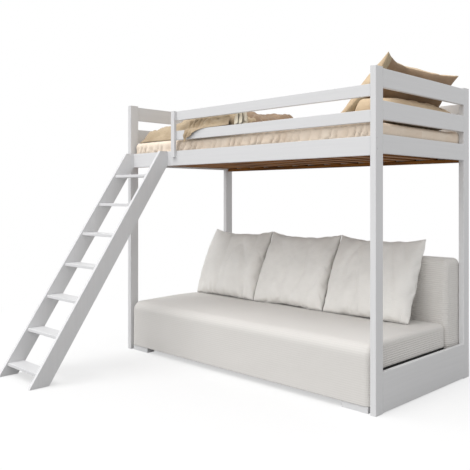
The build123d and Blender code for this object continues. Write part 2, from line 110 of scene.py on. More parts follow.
def tone_and_relief(tree, shader, pattern, tones, ends, height, strength, depth):
    """Spread two tones over a pattern between its ends, and raise the surface; depth is in metres."""
    tone = add(tree, "ShaderNodeValToRGB", links={"Fac": pattern})
    for stop, code, end in zip(tone.color_ramp.elements, tones, ends):
        stop.position, stop.color = end, srgb(code)
    bump = add(tree, "ShaderNodeBump", {"Strength": strength, "Distance": depth}, {"Height": height})
    tree.links.new(tone.outputs["Color"], shader.inputs["Base Color"])
    tree.links.new(bump.outputs["Normal"], shader.inputs["Normal"])
    return tone.outputs["Color"]


# %% [markdown]
# The frame is pine under a satin white lacquer. A brush or roller leaves faint streaks along each board
# and the wood's softer bands sink a little, so the streaks run along the board's own length. The boards lie
# along X, Y or Z, and the same recipe is made once for each direction. Sizes here are in millimetres.

# %% White lacquer on pine
STREAK_LONG, STREAK_WIDE = 260, 3.5
BAND_LONG, BAND_WIDE = 520, 14
GRAIN_AXES = {"x": 0, "y": 1, "z": 2}


def grain_scale(axis, long_mm, wide_mm):
    """Mapping scale that stretches a pattern along one axis."""
    scale = [per_m(wide_mm)] * 3
    scale[GRAIN_AXES[axis]] = per_m(long_mm)
    return scale


def white_lacquer(axis):
    """Satin white lacquer whose streaks run along one axis."""
    made, tree, shader = start_material(f"white_lacquer_{axis}", Roughness=0.42, IOR=1.48)
    place = add(tree, "ShaderNodeTexCoord").outputs["Object"]
    streaks = uneven(tree, place, grain_scale(axis, STREAK_LONG, STREAK_WIDE), Detail=3)
    bands = uneven(tree, place, grain_scale(axis, BAND_LONG, BAND_WIDE), Detail=2)
    height = add(tree, "ShaderNodeMath", links={0: streaks, 1: bands}, operation="ADD").outputs[0]
    tone_and_relief(tree, shader, bands, ("#DFDFE0", "#E2E2E3"), (0.3, 0.7), height, 0.25, 0.00003)
    return made


lacquer = {axis: white_lacquer(axis) for axis in GRAIN_AXES}
print("lacquers", [made.name for made in lacquer.values()])


# %% [markdown]
# The slats are pine as well, but only oiled, so the year rings show as warm orange and brown stripes along
# each slat. The hidden carcass of the seat is the same wood left raw, and so paler.

# %% Bare pine
RING_LONG, RING_WIDE = 400, 9
OILED_ROUGH, RAW_ROUGH = 0.6, 0.7


def pine(name, axis, light, dark, roughness):
    """Pine with its year rings along one axis."""
    made, tree, shader = start_material(name, **{"Roughness": roughness, "Specular IOR Level": 0.3})
    place = add(tree, "ShaderNodeTexCoord").outputs["Object"]
    scale = grain_scale(axis, RING_LONG, RING_WIDE)
    rings = uneven(tree, place, scale, Detail=4, Roughness=0.62, Distortion=0.4)
    tone_and_relief(tree, shader, rings, (dark, light), (0.35, 0.62), rings, 0.4, 0.0003)
    return made


oiled_pine_y = pine("oiled_pine_y", "y", "#AE7028", "#4E2E0E", OILED_ROUGH)
oiled_pine_x = pine("oiled_pine_x", "x", "#A66A26", "#4A2B0D", OILED_ROUGH)
raw_pine_x = pine("raw_pine_x", "x", "#DCC096", "#C09A66", RAW_ROUGH)
raw_pine_y = pine("raw_pine_y", "y", "#DCC096", "#C09A66", RAW_ROUGH)
print("bare woods", oiled_pine_x.name, raw_pine_x.name)


# %% [markdown]
# The bolts have white coated heads that hardly show on the posts, and their nuts are zinc plated. The hinge
# arms and pins are steel under a black powder coat, and the glides are nylon. Plating shows fine crystals,
# powder coat a slight orange peel and nylon a soft mottle. The black cloth under the sofa is mottled too.
# The crystals and the threads of that cloth are finer than this on the real thing, and wouldn't show.

# %% Metals, nylon and the black base cloth
def mottled(name, light, dark, size_mm, depth_mm, **values):
    """A plain finish whose tone and surface vary with a fine noise."""
    made, tree, shader = start_material(name, **values)
    place = add(tree, "ShaderNodeTexCoord").outputs["Object"]
    grain = uneven(tree, place, [per_m(size_mm)] * 3, Detail=3)
    tone_and_relief(tree, shader, grain, (dark, light), (0, 1), grain, 0.4, depth_mm / 1000)
    return made


zinc_plate = mottled("zinc_plate", "#C9CBCE", "#A4A7AB", 1.5, 0.02, Metallic=1.0, Roughness=0.32)
white_coat = mottled("white_powder_coat", "#E4E4E5", "#DCDCDD", 0.8, 0.05, Roughness=0.45)
black_powder_coat = mottled("black_powder_coat", "#2A2B2D", "#1C1D1F", 0.8, 0.05, Roughness=0.5)
nylon = mottled("nylon", "#E2E0D6", "#D4D2C6", 6, 0.03, Roughness=0.45)
# The same black cloth is also painted shadow: a strip of it along the seat's ends stands for the shade
# beside the low board.
black_cloth_and_painted_shadow = mottled("black_base_cloth_and_painted_shadow", "#2E2D2C", "#201F1F", 1.2, 0.1, Roughness=0.95)
print("small parts", zinc_plate.name, white_coat.name, black_powder_coat.name, nylon.name)


# %% [markdown]
# Each CAD node gets one of these finishes by the start of its name. The lacquer is chosen by the direction
# in which the board's grain runs: posts and ladder sides upright, end rails across, long rails along X.

# %% Put the finishes on the CAD parts
FINISHES = {
    ("post_", "guard_post", "ladder_stringer_"): lacquer["z"],
    ("end_rail_", "end_board_", "base_rail_"): lacquer["y"],
    ("side_rail_front", "side_rail_rear", "guard_rail_"): lacquer["x"],
    ("base_rear", "sofa_foot", "ladder_tread_"): lacquer["x"],
    ("slats_",): oiled_pine_y,
    ("slat_ledger_",): oiled_pine_x,
    ("seat_platform", "seat_rear_member"): raw_pine_x,
    ("seat_side_member_",): raw_pine_y,
    ("side_rail_bolts", "ladder_bolts", "guard_post_screws"): white_coat,
    ("side_rail_nuts",): zinc_plate,
    ("hinge_",): black_powder_coat,
    ("seat_glides",): nylon,
}
for starts, made in FINISHES.items():
    chosen = [name for name in nodes if name.startswith(starts)]
    for name in chosen:
        nodes[name].data.materials.clear()
        nodes[name].data.materials.append(made)
    print(made.name, "on", len(chosen), "nodes")


# %% [markdown]
# All the cloth lies on UV coordinates in metres, so threads and ribs keep their size and follow the cloth.
# The sofa's cover is a ribbed upholstery cord: rounded ribs 12 mm apart that run level round the seat, deep
# on its ends and on the backrest and pressed nearly flat on the seat's front and top. A short nap lies
# across the ribs, and the tone drifts slowly, as on a cover that has been sat on.

# %% Ribbed cord
CLOTH_UV = "cloth"
RIB, RIB_HIGH = 12, 0.0019
NAP_LONG, NAP_WIDE = 30, 3
WEAR_LONG, WEAR_WIDE = 380, 240


def cloth_scale(along_mm, across_mm):
    """Mapping scale for features of this size on the cloth."""
    return (per_m(along_mm), per_m(across_mm), 1)


def cloth_waves(tree, flat, scale, axis):
    """Sine waves along U or V of the cloth's coordinates."""
    placed = add(tree, "ShaderNodeMapping", {"Scale": scale}, {"Vector": flat})
    split = add(tree, "ShaderNodeSeparateXYZ", links={"Vector": placed.outputs[0]})
    return add(tree, "ShaderNodeMath", links={0: split.outputs[axis]}, operation="SINE").outputs[0]


def ribbed_cord(name, light, dark, depth):
    """Upholstery cord with rounded ribs across V; depth is how far they stand out, up to 1."""
    made, tree, shader = start_material(
        name, **{"Roughness": 0.9, "Sheen Weight": 0.25, "Sheen Roughness": 0.5}
    )
    flat = add(tree, "ShaderNodeUVMap", uv_map=CLOTH_UV).outputs[0]
    wave = cloth_waves(tree, flat, (1, per_m(RIB) * math.tau, 1), "Y")
    lifted = add(tree, "ShaderNodeMath", {1: 0.5, 2: 0.5}, {0: wave}, operation="MULTIPLY_ADD")
    ribs = add(tree, "ShaderNodeMath", {1: 0.5}, {0: lifted.outputs[0]}, operation="POWER").outputs[0]
    nap = uneven(tree, flat, cloth_scale(NAP_LONG, NAP_WIDE), Detail=4)
    wear = uneven(tree, flat, cloth_scale(WEAR_LONG, WEAR_WIDE), Detail=2)
    worn = add(tree, "ShaderNodeMath", {1: 0.45}, {0: wear, 2: ribs}, operation="MULTIPLY_ADD").outputs[0]
    shade = add(tree, "ShaderNodeMath", {1: 0.3}, {0: nap, 2: worn}, operation="MULTIPLY_ADD").outputs[0]
    tone_and_relief(tree, shader, shade, (dark, light), (0.2, 1.2 / 1.75), ribs, depth, RIB_HIGH)
    return made


sofa_cord = ribbed_cord("sofa_ribbed_cord", "#E2DFDB", "#C6C3BE", 0.8)
flat_cord = ribbed_cord("sofa_flat_cord", "#DCD9D5", "#CECBC6", 0.2)
print("cords", sofa_cord.name, flat_cord.name)


# %% [markdown]
# The other cloths are plain weaves, and differ in thread, tone and fuzz. Real threads are a quarter to half
# a millimetre wide and wouldn't show in the render, so they are drawn 1.2 to 3 mm wide. Most of these
# cloths also get painted shade deep in their folds, where cloth lies close to cloth: their colour is
# darkened there, on top of the shade that the render casts.

# %% Plain weaves
YARN_LONG, UNEVEN = 40, 160
SLUB = 0.5
# How close other cloth must lie for shade to be painted into the colour, in metres.
FOLD_SHADE_REACH = 0.022


def plain_weave(name, light, dark, thread_mm, depth_mm, sheen, painted_fold_shade=0.0):
    """A plain woven cloth: crossing threads, uneven yarn and a slow change of tone.

    The last argument is how much shade is painted into the colour deep in the folds, where cloth lies close
    to cloth.
    """
    made, tree, shader = start_material(
        name, **{"Roughness": 0.88, "Sheen Weight": sheen, "Sheen Roughness": 0.5}
    )
    flat = add(tree, "ShaderNodeUVMap", uv_map=CLOTH_UV).outputs[0]
    threads = (per_m(thread_mm) * math.pi, per_m(thread_mm) * math.pi, 1)
    warp, weft = (cloth_waves(tree, flat, threads, axis) for axis in "XY")
    over = add(tree, "ShaderNodeMath", links={0: warp, 1: weft}, operation="MULTIPLY").outputs[0]
    yarn = uneven(tree, flat, cloth_scale(YARN_LONG, thread_mm), Detail=3)
    slow = uneven(tree, flat, cloth_scale(UNEVEN, UNEVEN), Detail=3)
    shade = add(tree, "ShaderNodeMath", {1: SLUB}, {0: yarn, 2: slow}, operation="MULTIPLY_ADD").outputs[0]
    height = add(tree, "ShaderNodeMath", {1: 0.5}, {0: over, 2: yarn}, operation="MULTIPLY_ADD").outputs[0]
    colour = tone_and_relief(tree, shader, shade, (dark, light), (0.5, 0.92), height, 0.6, depth_mm / 1000)
    # Painted shade: the colour is darkened deep in the folds, on top of the shade that the render already
    # casts.
    if painted_fold_shade:
        fold_shade = add(tree, "ShaderNodeAmbientOcclusion", {"Distance": FOLD_SHADE_REACH}, samples=8)
        deep = add(tree, "ShaderNodeMix", {"Factor": painted_fold_shade}, data_type="RGBA", blend_type="MULTIPLY")
        tree.links.new(colour, deep.inputs["A"])
        tree.links.new(fold_shade.outputs["Color"], deep.inputs["B"])
        tree.links.new(deep.outputs["Result"], shader.inputs["Base Color"])
    return made


cushion_linen = plain_weave("cushion_linen", "#F2F0EC", "#E8E6E2", 2.4, 0.25, 0.2, painted_fold_shade=0.5)
sheet_cotton = plain_weave("sheet_cotton", "#FBECDA", "#F3E0CB", 1.2, 0.1, 0.05, painted_fold_shade=0.85)
throw_wool = plain_weave("throw_wool", "#C8B496", "#A69073", 3, 0.3, 0.2, painted_fold_shade=0.7)
# A browner copy of the throw's wool, for shade painted on the heap's back and right end.
throw_shaded_copy = plain_weave("throw_shaded_copy", "#A0866C", "#86705A", 3, 0.3, 0.2, painted_fold_shade=0.6)
pillow_cotton = plain_weave("pillow_cotton", "#DFC8A8", "#CCB290", 1.4, 0.12, 0.1, painted_fold_shade=0.4)
# Browner and greyer copies of the pillow cotton, for shade painted on the upper pillow's underside.
pillow_shaded_copy = plain_weave("pillow_shaded_copy", "#A2876B", "#8A7056", 1.4, 0.12, 0.1)
pillow_light_shade_copy = plain_weave("pillow_light_shade_copy", "#BCAD92", "#A6977D", 1.4, 0.12, 0.1)
mattress_ticking = plain_weave("mattress_ticking", "#EFEAE2", "#E2DBD0", 3, 0.2, 0.05)
# A near-black copy of the ticking, for shade painted on the mattress's underside.
mattress_painted_shade = plain_weave("mattress_painted_shade", "#332F2B", "#282522", 3, 0.2, 0.05)
fringe_yarn = plain_weave("fringe_yarn", "#F8EFDC", "#EADFC6", 2, 0.3, 0.1, painted_fold_shade=0.8)
print("materials so far", len(bpy.data.materials))


# %% [markdown]
# Each new piece is a mesh with its cloth coordinates. It is finished with modifiers that are applied at
# once, gets its materials, and is told which body it rides on and which CAD nodes it stands for.

# %% Helpers for new pieces
def clamped(value):
    """The value held between 0 and 1."""
    return min(1.0, max(0.0, value))


def wobble(point, size, seed=0.0):
    """Slow noise from -1 to 1 at a place, with features of this size in metres."""
    return noise.noise(Vector(point) / size + Vector((seed, 7.3 * seed, 3.1 * seed)))


def new_piece(name, points, faces, uvs):
    """A mesh object from points and faces, with one UV pair for each corner of each face."""
    data = bpy.data.meshes.new(name)
    data.from_pydata([tuple(p) for p in points], [], [tuple(f) for f in faces])
    layer = data.uv_layers.new(name=CLOTH_UV)
    layer.data.foreach_set("uv", np.array([pair for face in uvs for pair in face], np.float32).ravel())
    piece = bpy.data.objects.new(name, data)
    bpy.context.scene.collection.objects.link(piece)
    return piece


def only(piece):
    """Select one object alone and make it active."""
    bpy.ops.object.select_all(action="DESELECT")
    piece.select_set(True)
    bpy.context.view_layer.objects.active = piece


def apply_modifier(piece, kind, **settings):
    """Add a modifier with these settings and apply it."""
    only(piece)
    modifier = piece.modifiers.new(kind.lower(), kind)
    for key, value in settings.items():
        setattr(modifier, key, value)
    bpy.ops.object.modifier_apply(modifier=modifier.name)


def shade_smooth(piece, angle=None):
    """Smooth shading, with creases kept above an angle in degrees."""
    only(piece)
    if angle is None:
        bpy.ops.object.shade_smooth()
    else:
        bpy.ops.object.shade_smooth_by_angle(angle=math.radians(angle))


def give(piece, *finishes):
    """Put these materials into the piece's slots."""
    for made in finishes:
        piece.data.materials.append(made)


def dress(piece, body, slot, *stands_for):
    """Give a new piece its body and hide the CAD nodes that it replaces; slot is not used."""
    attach(piece, body)
    if stands_for:
        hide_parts(*stands_for)


def outward(piece, merge=0.0):
    """Point the normals out, after joining the points that lie closer together than merge."""
    mesh = bmesh.new()
    mesh.from_mesh(piece.data)
    if merge:
        bmesh.ops.remove_doubles(mesh, verts=mesh.verts, dist=merge)
    bmesh.ops.recalc_face_normals(mesh, faces=mesh.faces)
    mesh.to_mesh(piece.data)
    mesh.free()


# %% [markdown]
# Upholstery is lofted: a section of the block, with its rounded corners and its crown, is carried along the
# sofa's length and drawn in at both ends, like a cover over foam. Lofting keeps the rows of ribs straight,
# which a sculpted block would not.

# %% Loft a block
ARC_STEPS = 7
QUARTER = [math.radians(90 * k / ARC_STEPS) for k in range(ARC_STEPS + 1)]
CAP_SHARES = (0.9, 0.7, 0.45, 0.2)


def corner_loop(corners, step):
    """A closed loop of points through rounded corners, each (y, z, radius)."""
    count = len(corners)
    arcs = []
    for i, (y, z, radius) in enumerate(corners):
        here = Vector((y, z))
        before = (Vector(corners[i - 1][:2]) - here).normalized()
        after = (Vector(corners[(i + 1) % count][:2]) - here).normalized()
        centre = here + (before + after) * radius
        turns = [(radius * math.cos(t), radius * math.sin(t)) for t in QUARTER]
        arcs.append([centre - after * past - before * short for past, short in turns])
    loop = []
    for i, arc in enumerate(arcs):
        loop += arc
        start, end = arc[-1], arcs[(i + 1) % count][0]
        pieces = max(1, round((end - start).length / step))
        loop += [start.lerp(end, k / pieces) for k in range(1, pieces)]
    return np.array([tuple(p) for p in loop])


def ring_faces(rings, count):
    """The faces between rings of points, each after its ring's number and its place in the ring."""
    for r in range(rings - 1):
        for i in range(count):
            j = (i + 1) % count
            yield r, i, (r * count + i, (r + 1) * count + i, (r + 1) * count + j, r * count + j)


def loft_block(name, loop, left, right, end_round, step, rib_origin, flat_rear=False):
    """Carry a (y, z) loop along X, draw it in at both ends and close the ends with flat rings."""
    low, high = loop.min(axis=0), loop.max(axis=0)
    centre, half = (high + low) / 2, (high - low) / 2
    near = [(end_round * (1 - math.cos(t)), end_round * (1 - math.sin(t))) for t in QUARTER]
    far = [(right - left - distance, inset) for distance, inset in reversed(near)]
    inner = right - left - 2 * end_round
    steps = round(inner / step)
    middle = [(end_round + inner * k / steps, 0.0) for k in range(1, steps)]
    rings = []
    for distance, inset in near + middle + far:
        ring = centre + (loop - centre) * (1 - inset / half)
        ring[:, 1] = np.where(loop[:, 1] < centre[1], loop[:, 1], ring[:, 1])
        if flat_rear:
            ring[:, 0] = np.where(loop[:, 0] > centre[0], loop[:, 0], ring[:, 0])
        rings.append((left + distance, ring))
    caps = [(left, centre + (rings[0][1] - centre) * share) for share in reversed(CAP_SHARES)]
    tail = [(right, centre + (rings[-1][1] - centre) * share) for share in CAP_SHARES]
    rings = caps + rings + tail
    count = len(loop)
    lengths = np.linalg.norm(np.roll(loop, -1, axis=0) - loop, axis=1)
    runs = np.concatenate(([0], np.cumsum(lengths)))
    points = [(x, y, z) for x, ring in rings for y, z in ring]
    faces, uvs = [], []
    for r, i, face in ring_faces(len(rings), count):
        faces.append(face)
        if r < len(CAP_SHARES) or r >= len(rings) - 1 - len(CAP_SHARES):
            uvs.append([(points[k][1], points[k][2] - rib_origin) for k in face])
        else:
            ends = (runs[i], runs[i], runs[i + 1], runs[i + 1])
            uvs.append([(points[k][0], v) for k, v in zip(face, ends)])
    for r in (0, len(rings) - 1):
        hub = len(points)
        points.append((rings[r][0], centre[0], centre[1]))
        for i in range(count):
            face = (hub, r * count + i, r * count + (i + 1) % count)
            faces.append(face if r == 0 else face[::-1])
            uvs.append([(points[k][1], points[k][2] - rib_origin) for k in faces[-1]])
    return new_piece(name, points, faces, uvs)


# %% [markdown]
# Foam under cloth is never quite even, so slow noise lifts and sinks the surface by a few millimetres.
# Where the cover is fixed or runs close to another part, it is held. Hollows and slots are cut out last.

# %% Soften and cut a block
def soften(piece, layers, hold):
    """Move each point along its normal by slow noise, as far as hold lets it.

    layers are (size, depth, seed) in metres; hold gives a share from 0 to 1 for a place.
    """
    piece.data.update()
    moves = []
    for vertex in piece.data.vertices:
        push = sum(depth * wobble(vertex.co, size, seed) for size, depth, seed in layers)
        moves.append(vertex.co + vertex.normal * push * hold(vertex.co))
    for vertex, place in zip(piece.data.vertices, moves):
        vertex.co = place


def free_above(low, high, start, rise, rear):
    """A hold for a cover that is fixed near its bottom and at its back, and free above and ahead."""

    def hold(place):
        return clamped((place.z - low.z - start) / rise) * clamped((high.y - place.y) / rear)

    return hold


def cut_box(piece, low, high, lining):
    """Cut a box out of a piece; the cut faces get the lining material."""
    bpy.ops.object.select_all(action="DESELECT")
    middle = [(a + b) / 2 for a, b in zip(low, high)]
    size = [b - a for a, b in zip(low, high)]
    bpy.ops.mesh.primitive_cube_add(size=1, location=middle, scale=size)
    cutter = bpy.context.object
    give(cutter, lining)
    cut = {"operation": "DIFFERENCE", "solver": "EXACT", "material_mode": "TRANSFER"}
    apply_modifier(piece, "BOOLEAN", object=cutter, **cut)
    bpy.data.objects.remove(cutter)


# %% [markdown]
# The seat is one thick upholstered block with a large round front edge. Its top is crowned, and under it
# the block is hollow, because the seat slides forward over two timber rails. The hollow is cut out last. A
# strip of black cloth along each end, level with the top edge of the frame's low board, is painted shadow
# for the shade in the gap between the seat and the board.

# %% Seat block
SOFA_STATION, PROFILE_STEP = 0.025, 0.012
FRONT_ROUND, REAR_ROUND, HEM_ROUND = 0.056, 0.024, 0.006
SEAT_END_ROUND, SEAT_CROWN = 0.03, 0.008
SEAT_WAVES = [(0.42, 0.0035, 1.7), (0.16, 0.0014, 4.1)]
# Height of the strip of painted shadow on the seat's ends, and its gap above the board's top.
SHADOW_STRIP, SHADOW_STRIP_GAP = 0.025, 0.002
SEAT_WALL, SEAT_APRON, SEAT_PAD, PAST = 0.04, 0.07, 0.13, 0.02
KEEP_CREASE = 50
seat_low, seat_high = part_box("seat_upholstery")
seat_mid, seat_half = (seat_low.y + seat_high.y) / 2, (seat_high.y - seat_low.y) / 2


def seat_loop():
    """Section of the seat, from the lower rear corner round by the front."""
    corners = [
        (seat_high.y, seat_low.z, HEM_ROUND),
        (seat_low.y, seat_low.z, HEM_ROUND),
        (seat_low.y, seat_high.z, FRONT_ROUND),
        (seat_high.y, seat_high.z, REAR_ROUND),
    ]
    loop = corner_loop(corners, PROFILE_STEP)
    drop = SEAT_CROWN * ((loop[:, 0] - seat_mid) / seat_half) ** 2
    height = (loop[:, 1] - seat_low.z) / (seat_high.z - seat_low.z)
    loop[:, 1] -= drop * height
    return loop


def assign_covers(piece, top):
    """Deep cord on the ends with a black strip of painted shadow below a height, and flat cord on the rest.
    """
    mesh = bmesh.new()
    mesh.from_mesh(piece.data)
    for height in (top, top - SHADOW_STRIP):
        everything = mesh.verts[:] + mesh.edges[:] + mesh.faces[:]
        bmesh.ops.bisect_plane(mesh, geom=everything, plane_co=(0, 0, height), plane_no=(0, 0, 1))
    for face in mesh.faces:
        middle = face.calc_center_median()
        # The strip is painted shadow, for the shade in the gap between the seat's end and the board.
        in_painted_shadow = top - SHADOW_STRIP < middle.z < top and middle.y > seat_low.y + FRONT_ROUND
        at_end = abs(face.normal.x) > 0.8
        face.material_index = (1 if in_painted_shadow else 0) if at_end else 2
    mesh.to_mesh(piece.data)
    mesh.free()


seat_cover = loft_block(
    "seat_cover", seat_loop(), seat_low.x, seat_high.x, SEAT_END_ROUND, SOFA_STATION, seat_low.z
)
outward(seat_cover)
soften(seat_cover, SEAT_WAVES, free_above(seat_low, seat_high, 0.01, 0.08, 0.05))
give(seat_cover, sofa_cord, black_cloth_and_painted_shadow, flat_cord)
assign_covers(seat_cover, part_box("end_board_right")[1].z + SHADOW_STRIP_GAP)
cut_box(
    seat_cover,
    (seat_low.x + SEAT_WALL, seat_low.y + SEAT_APRON, seat_low.z - PAST),
    (seat_high.x - SEAT_WALL, seat_high.y + PAST, seat_high.z - SEAT_PAD),
    black_cloth_and_painted_shadow,
)
shade_smooth(seat_cover, KEEP_CREASE)
dress(seat_cover, "sofa_seat", "ribbed_fabric", "seat_upholstery")
print("seat cover", len(seat_cover.data.polygons), "faces")


# %% [markdown]
# The backrest is a slab as long as the seat, in the same cord. Its front swells a little, its lower front
# edge is well rounded so that it can turn past the seat, and two narrow slots in its back take the steel
# arms that it hangs on.

# %% Backrest
HEEL_ROUND, TOP_ROUND, SLAB_ROUND = 0.064, 0.034, 0.014
BACK_BULGE, BACK_PAST, BACK_END_ROUND = 0.005, 0.005, 0.032
BACK_WAVES = [(0.4, 0.0025, 8.2), (0.15, 0.001, 2.6)]
SLOT_HALF, EYE_ROOM = 0.005, 0.022
back_low, back_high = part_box("backrest")
back_mid, back_half = (back_low.z + back_high.z) / 2, (back_high.z - back_low.z) / 2


def back_loop():
    """Section of the backrest, from the lower rear corner round by the heel and the front."""
    front = back_low.y + BACK_BULGE
    corners = [
        (back_high.y, back_low.z, SLAB_ROUND),
        (front, back_low.z, HEEL_ROUND),
        (front, back_high.z, TOP_ROUND),
        (back_high.y, back_high.z, SLAB_ROUND),
    ]
    loop = corner_loop(corners, PROFILE_STEP)
    near_front = (back_high.y - loop[:, 0]) / (back_high.y - front)
    bulge = 1 - ((loop[:, 1] - back_mid) / back_half) ** 2
    loop[:, 0] -= BACK_BULGE * bulge * np.clip(near_front, 0, 1) ** 4
    return loop


right = back_high.x + BACK_PAST
back_cover = loft_block(
    "back_cover", back_loop(), back_low.x, right, BACK_END_ROUND, SOFA_STATION, back_low.z, flat_rear=True
)
outward(back_cover)
soften(back_cover, BACK_WAVES, free_above(back_low, back_high, 0.2, 0.1, 0.08))
give(back_cover, sofa_cord)
for side in ("left", "right"):
    arm_low, arm_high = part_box(f"hinge_arm_{side}")
    pin_low, pin_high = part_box(f"hinge_pin_{side}")
    arm_x, pin = (arm_low.x + arm_high.x) / 2, (pin_low + pin_high) / 2
    cut_box(
        back_cover,
        (arm_x - SLOT_HALF, pin.y - EYE_ROOM, back_low.z - PAST),
        (arm_x + SLOT_HALF, back_high.y + PAST, pin.z + EYE_ROOM),
        black_cloth_and_painted_shadow,
    )
shade_smooth(back_cover, KEEP_CREASE)
dress(back_cover, "sofa_back", "ribbed_fabric", "backrest")
print("back cover", len(back_cover.data.polygons), "faces")


# %% [markdown]
# A loose cushion is two flat panels of cloth sewn together round their edge and then stuffed. It is made
# here in the same way: a thin double panel is blown up by the cloth simulation, which pulls its sides in
# between the corners and gathers the cloth along the seam, as no hand-drawn form does.

# %% Sew two panels of cloth
def double_panel(name, wide, high, step, gap):
    """Two panels of cloth, closed round their edge, in the XY plane round the origin."""
    columns, rows = round(wide / step), round(high / step)
    bpy.ops.object.select_all(action="DESELECT")
    bpy.ops.mesh.primitive_grid_add(x_subdivisions=columns, y_subdivisions=rows, size=1)
    panel = bpy.context.object
    panel.name = panel.data.name = name
    for layer in list(panel.data.uv_layers):
        panel.data.uv_layers.remove(layer)
    for vertex in panel.data.vertices:
        vertex.co = (vertex.co.x * wide, vertex.co.y * high, 0)
    layer = panel.data.uv_layers.new(name=CLOTH_UV)
    for loop in panel.data.loops:
        layer.data[loop.index].uv = panel.data.vertices[loop.vertex_index].co[:2]
    apply_modifier(panel, "SOLIDIFY", thickness=gap, offset=0)
    return panel


def mesh_points(mesh):
    """A mesh's points as an array."""
    flat = np.zeros(len(mesh.vertices) * 3, np.float32)
    mesh.vertices.foreach_get("co", flat)
    return flat.reshape(-1, 3).astype(float)


def get_points(piece):
    """The piece's points as an array."""
    return mesh_points(piece.data)


def set_points(piece, places):
    """Move the piece's points to these places."""
    piece.data.vertices.foreach_set("co", places.astype(np.float32).ravel())
    piece.data.update()


# %% [markdown]
# The stuffing starts from a plain pillow form with a slight rumple, so that the cloth has folds to grow
# from. Pressure then blows it up, with no gravity, until it is as thick as the real one.

# %% Stuff a panel
SIM_FRAMES = 40
RUMPLE, RUMPLE_SIZE = 0.0022, 0.06
CLOTH_SETTINGS = {
    "quality": 6,
    "mass": 0.3,
    "tension_stiffness": 8,
    "compression_stiffness": 8,
    "shear_stiffness": 3,
    "bending_stiffness": 0.1,
    "use_pressure": True,
    "uniform_pressure_force": 2.0,
}


def lens_points(places, thick, gap, sag, blunt):
    """A double panel's points in a plain pillow form, its sides drawn in by sag at their middles.

    blunt says how full the form stays towards its seams: 2 is a plain lens, more is fuller.
    """
    half = places.max(axis=0)
    u, v = places[:, 0] / half[0], places[:, 1] / half[1]
    swell = np.clip((1 - np.abs(u) ** blunt) * (1 - np.abs(v) ** blunt), 0, 1) ** 0.5
    out = places.copy()
    out[:, 0] -= sag * (1 - v**2) * u
    out[:, 1] -= sag * (1 - u**2) * v
    out[:, 2] = np.sign(places[:, 2]) * (gap / 2 + swell * (thick - gap) / 2)
    return out


def stuff(panel, thick, gap, start_share, seed, blunt=2):
    """Blow the double panel up with the cloth simulation until it is thick enough."""
    start = get_points(panel)
    size = start.max(axis=0) - start.min(axis=0)
    begun = lens_points(start, start_share * thick, gap, 0, blunt)
    begun[:, 2] += RUMPLE * np.array([wobble(p, RUMPLE_SIZE, seed) for p in start])
    set_points(panel, begun)
    only(panel)
    cloth = panel.modifiers.new("cloth", "CLOTH")
    for key, value in CLOTH_SETTINGS.items():
        setattr(cloth.settings, key, value)
    cloth.settings.effector_weights.gravity = 0
    scene = bpy.context.scene
    for step in range(1, SIM_FRAMES + 1):
        scene.frame_set(step)
        places = mesh_points(panel.evaluated_get(bpy.context.evaluated_depsgraph_get()).data)
        if np.ptp(places[:, 2]) >= thick:
            break
    print(panel.name, "stuffed in", step, "frames to", np.round(np.ptp(places, axis=0), 3))
    panel.modifiers.remove(cloth)
    scene.frame_set(1)
    places -= (places.max(axis=0) + places.min(axis=0)) / 2
    places *= np.array([size[0], size[1], thick]) / np.ptp(places, axis=0)
    set_points(panel, places)


# %% [markdown]
# On a used cushion the filling has settled: the top seam sinks between the corners, long folds and sharp
# creases run down the cloth, its foot spreads and the cloth there gathers. The simulation doesn't know how
# long a cushion has been leaned on, so this is drawn on afterwards, with noise that differs for each one.

# %% Let the filling settle
WIDE_FOLD, FINE_FOLD = (0.007, 0.2), (0.006, 0.09)
CREASE_SIZE, CREASE_THIN = 0.12, 3.2
SEAM_FROM, SEAM_WAVES = 0.35, 130
FOOT_REACH, FOOT_PITCH = 0.42, 0.056
TOP_THIN = 0.16
SEAM_STEEP = 9


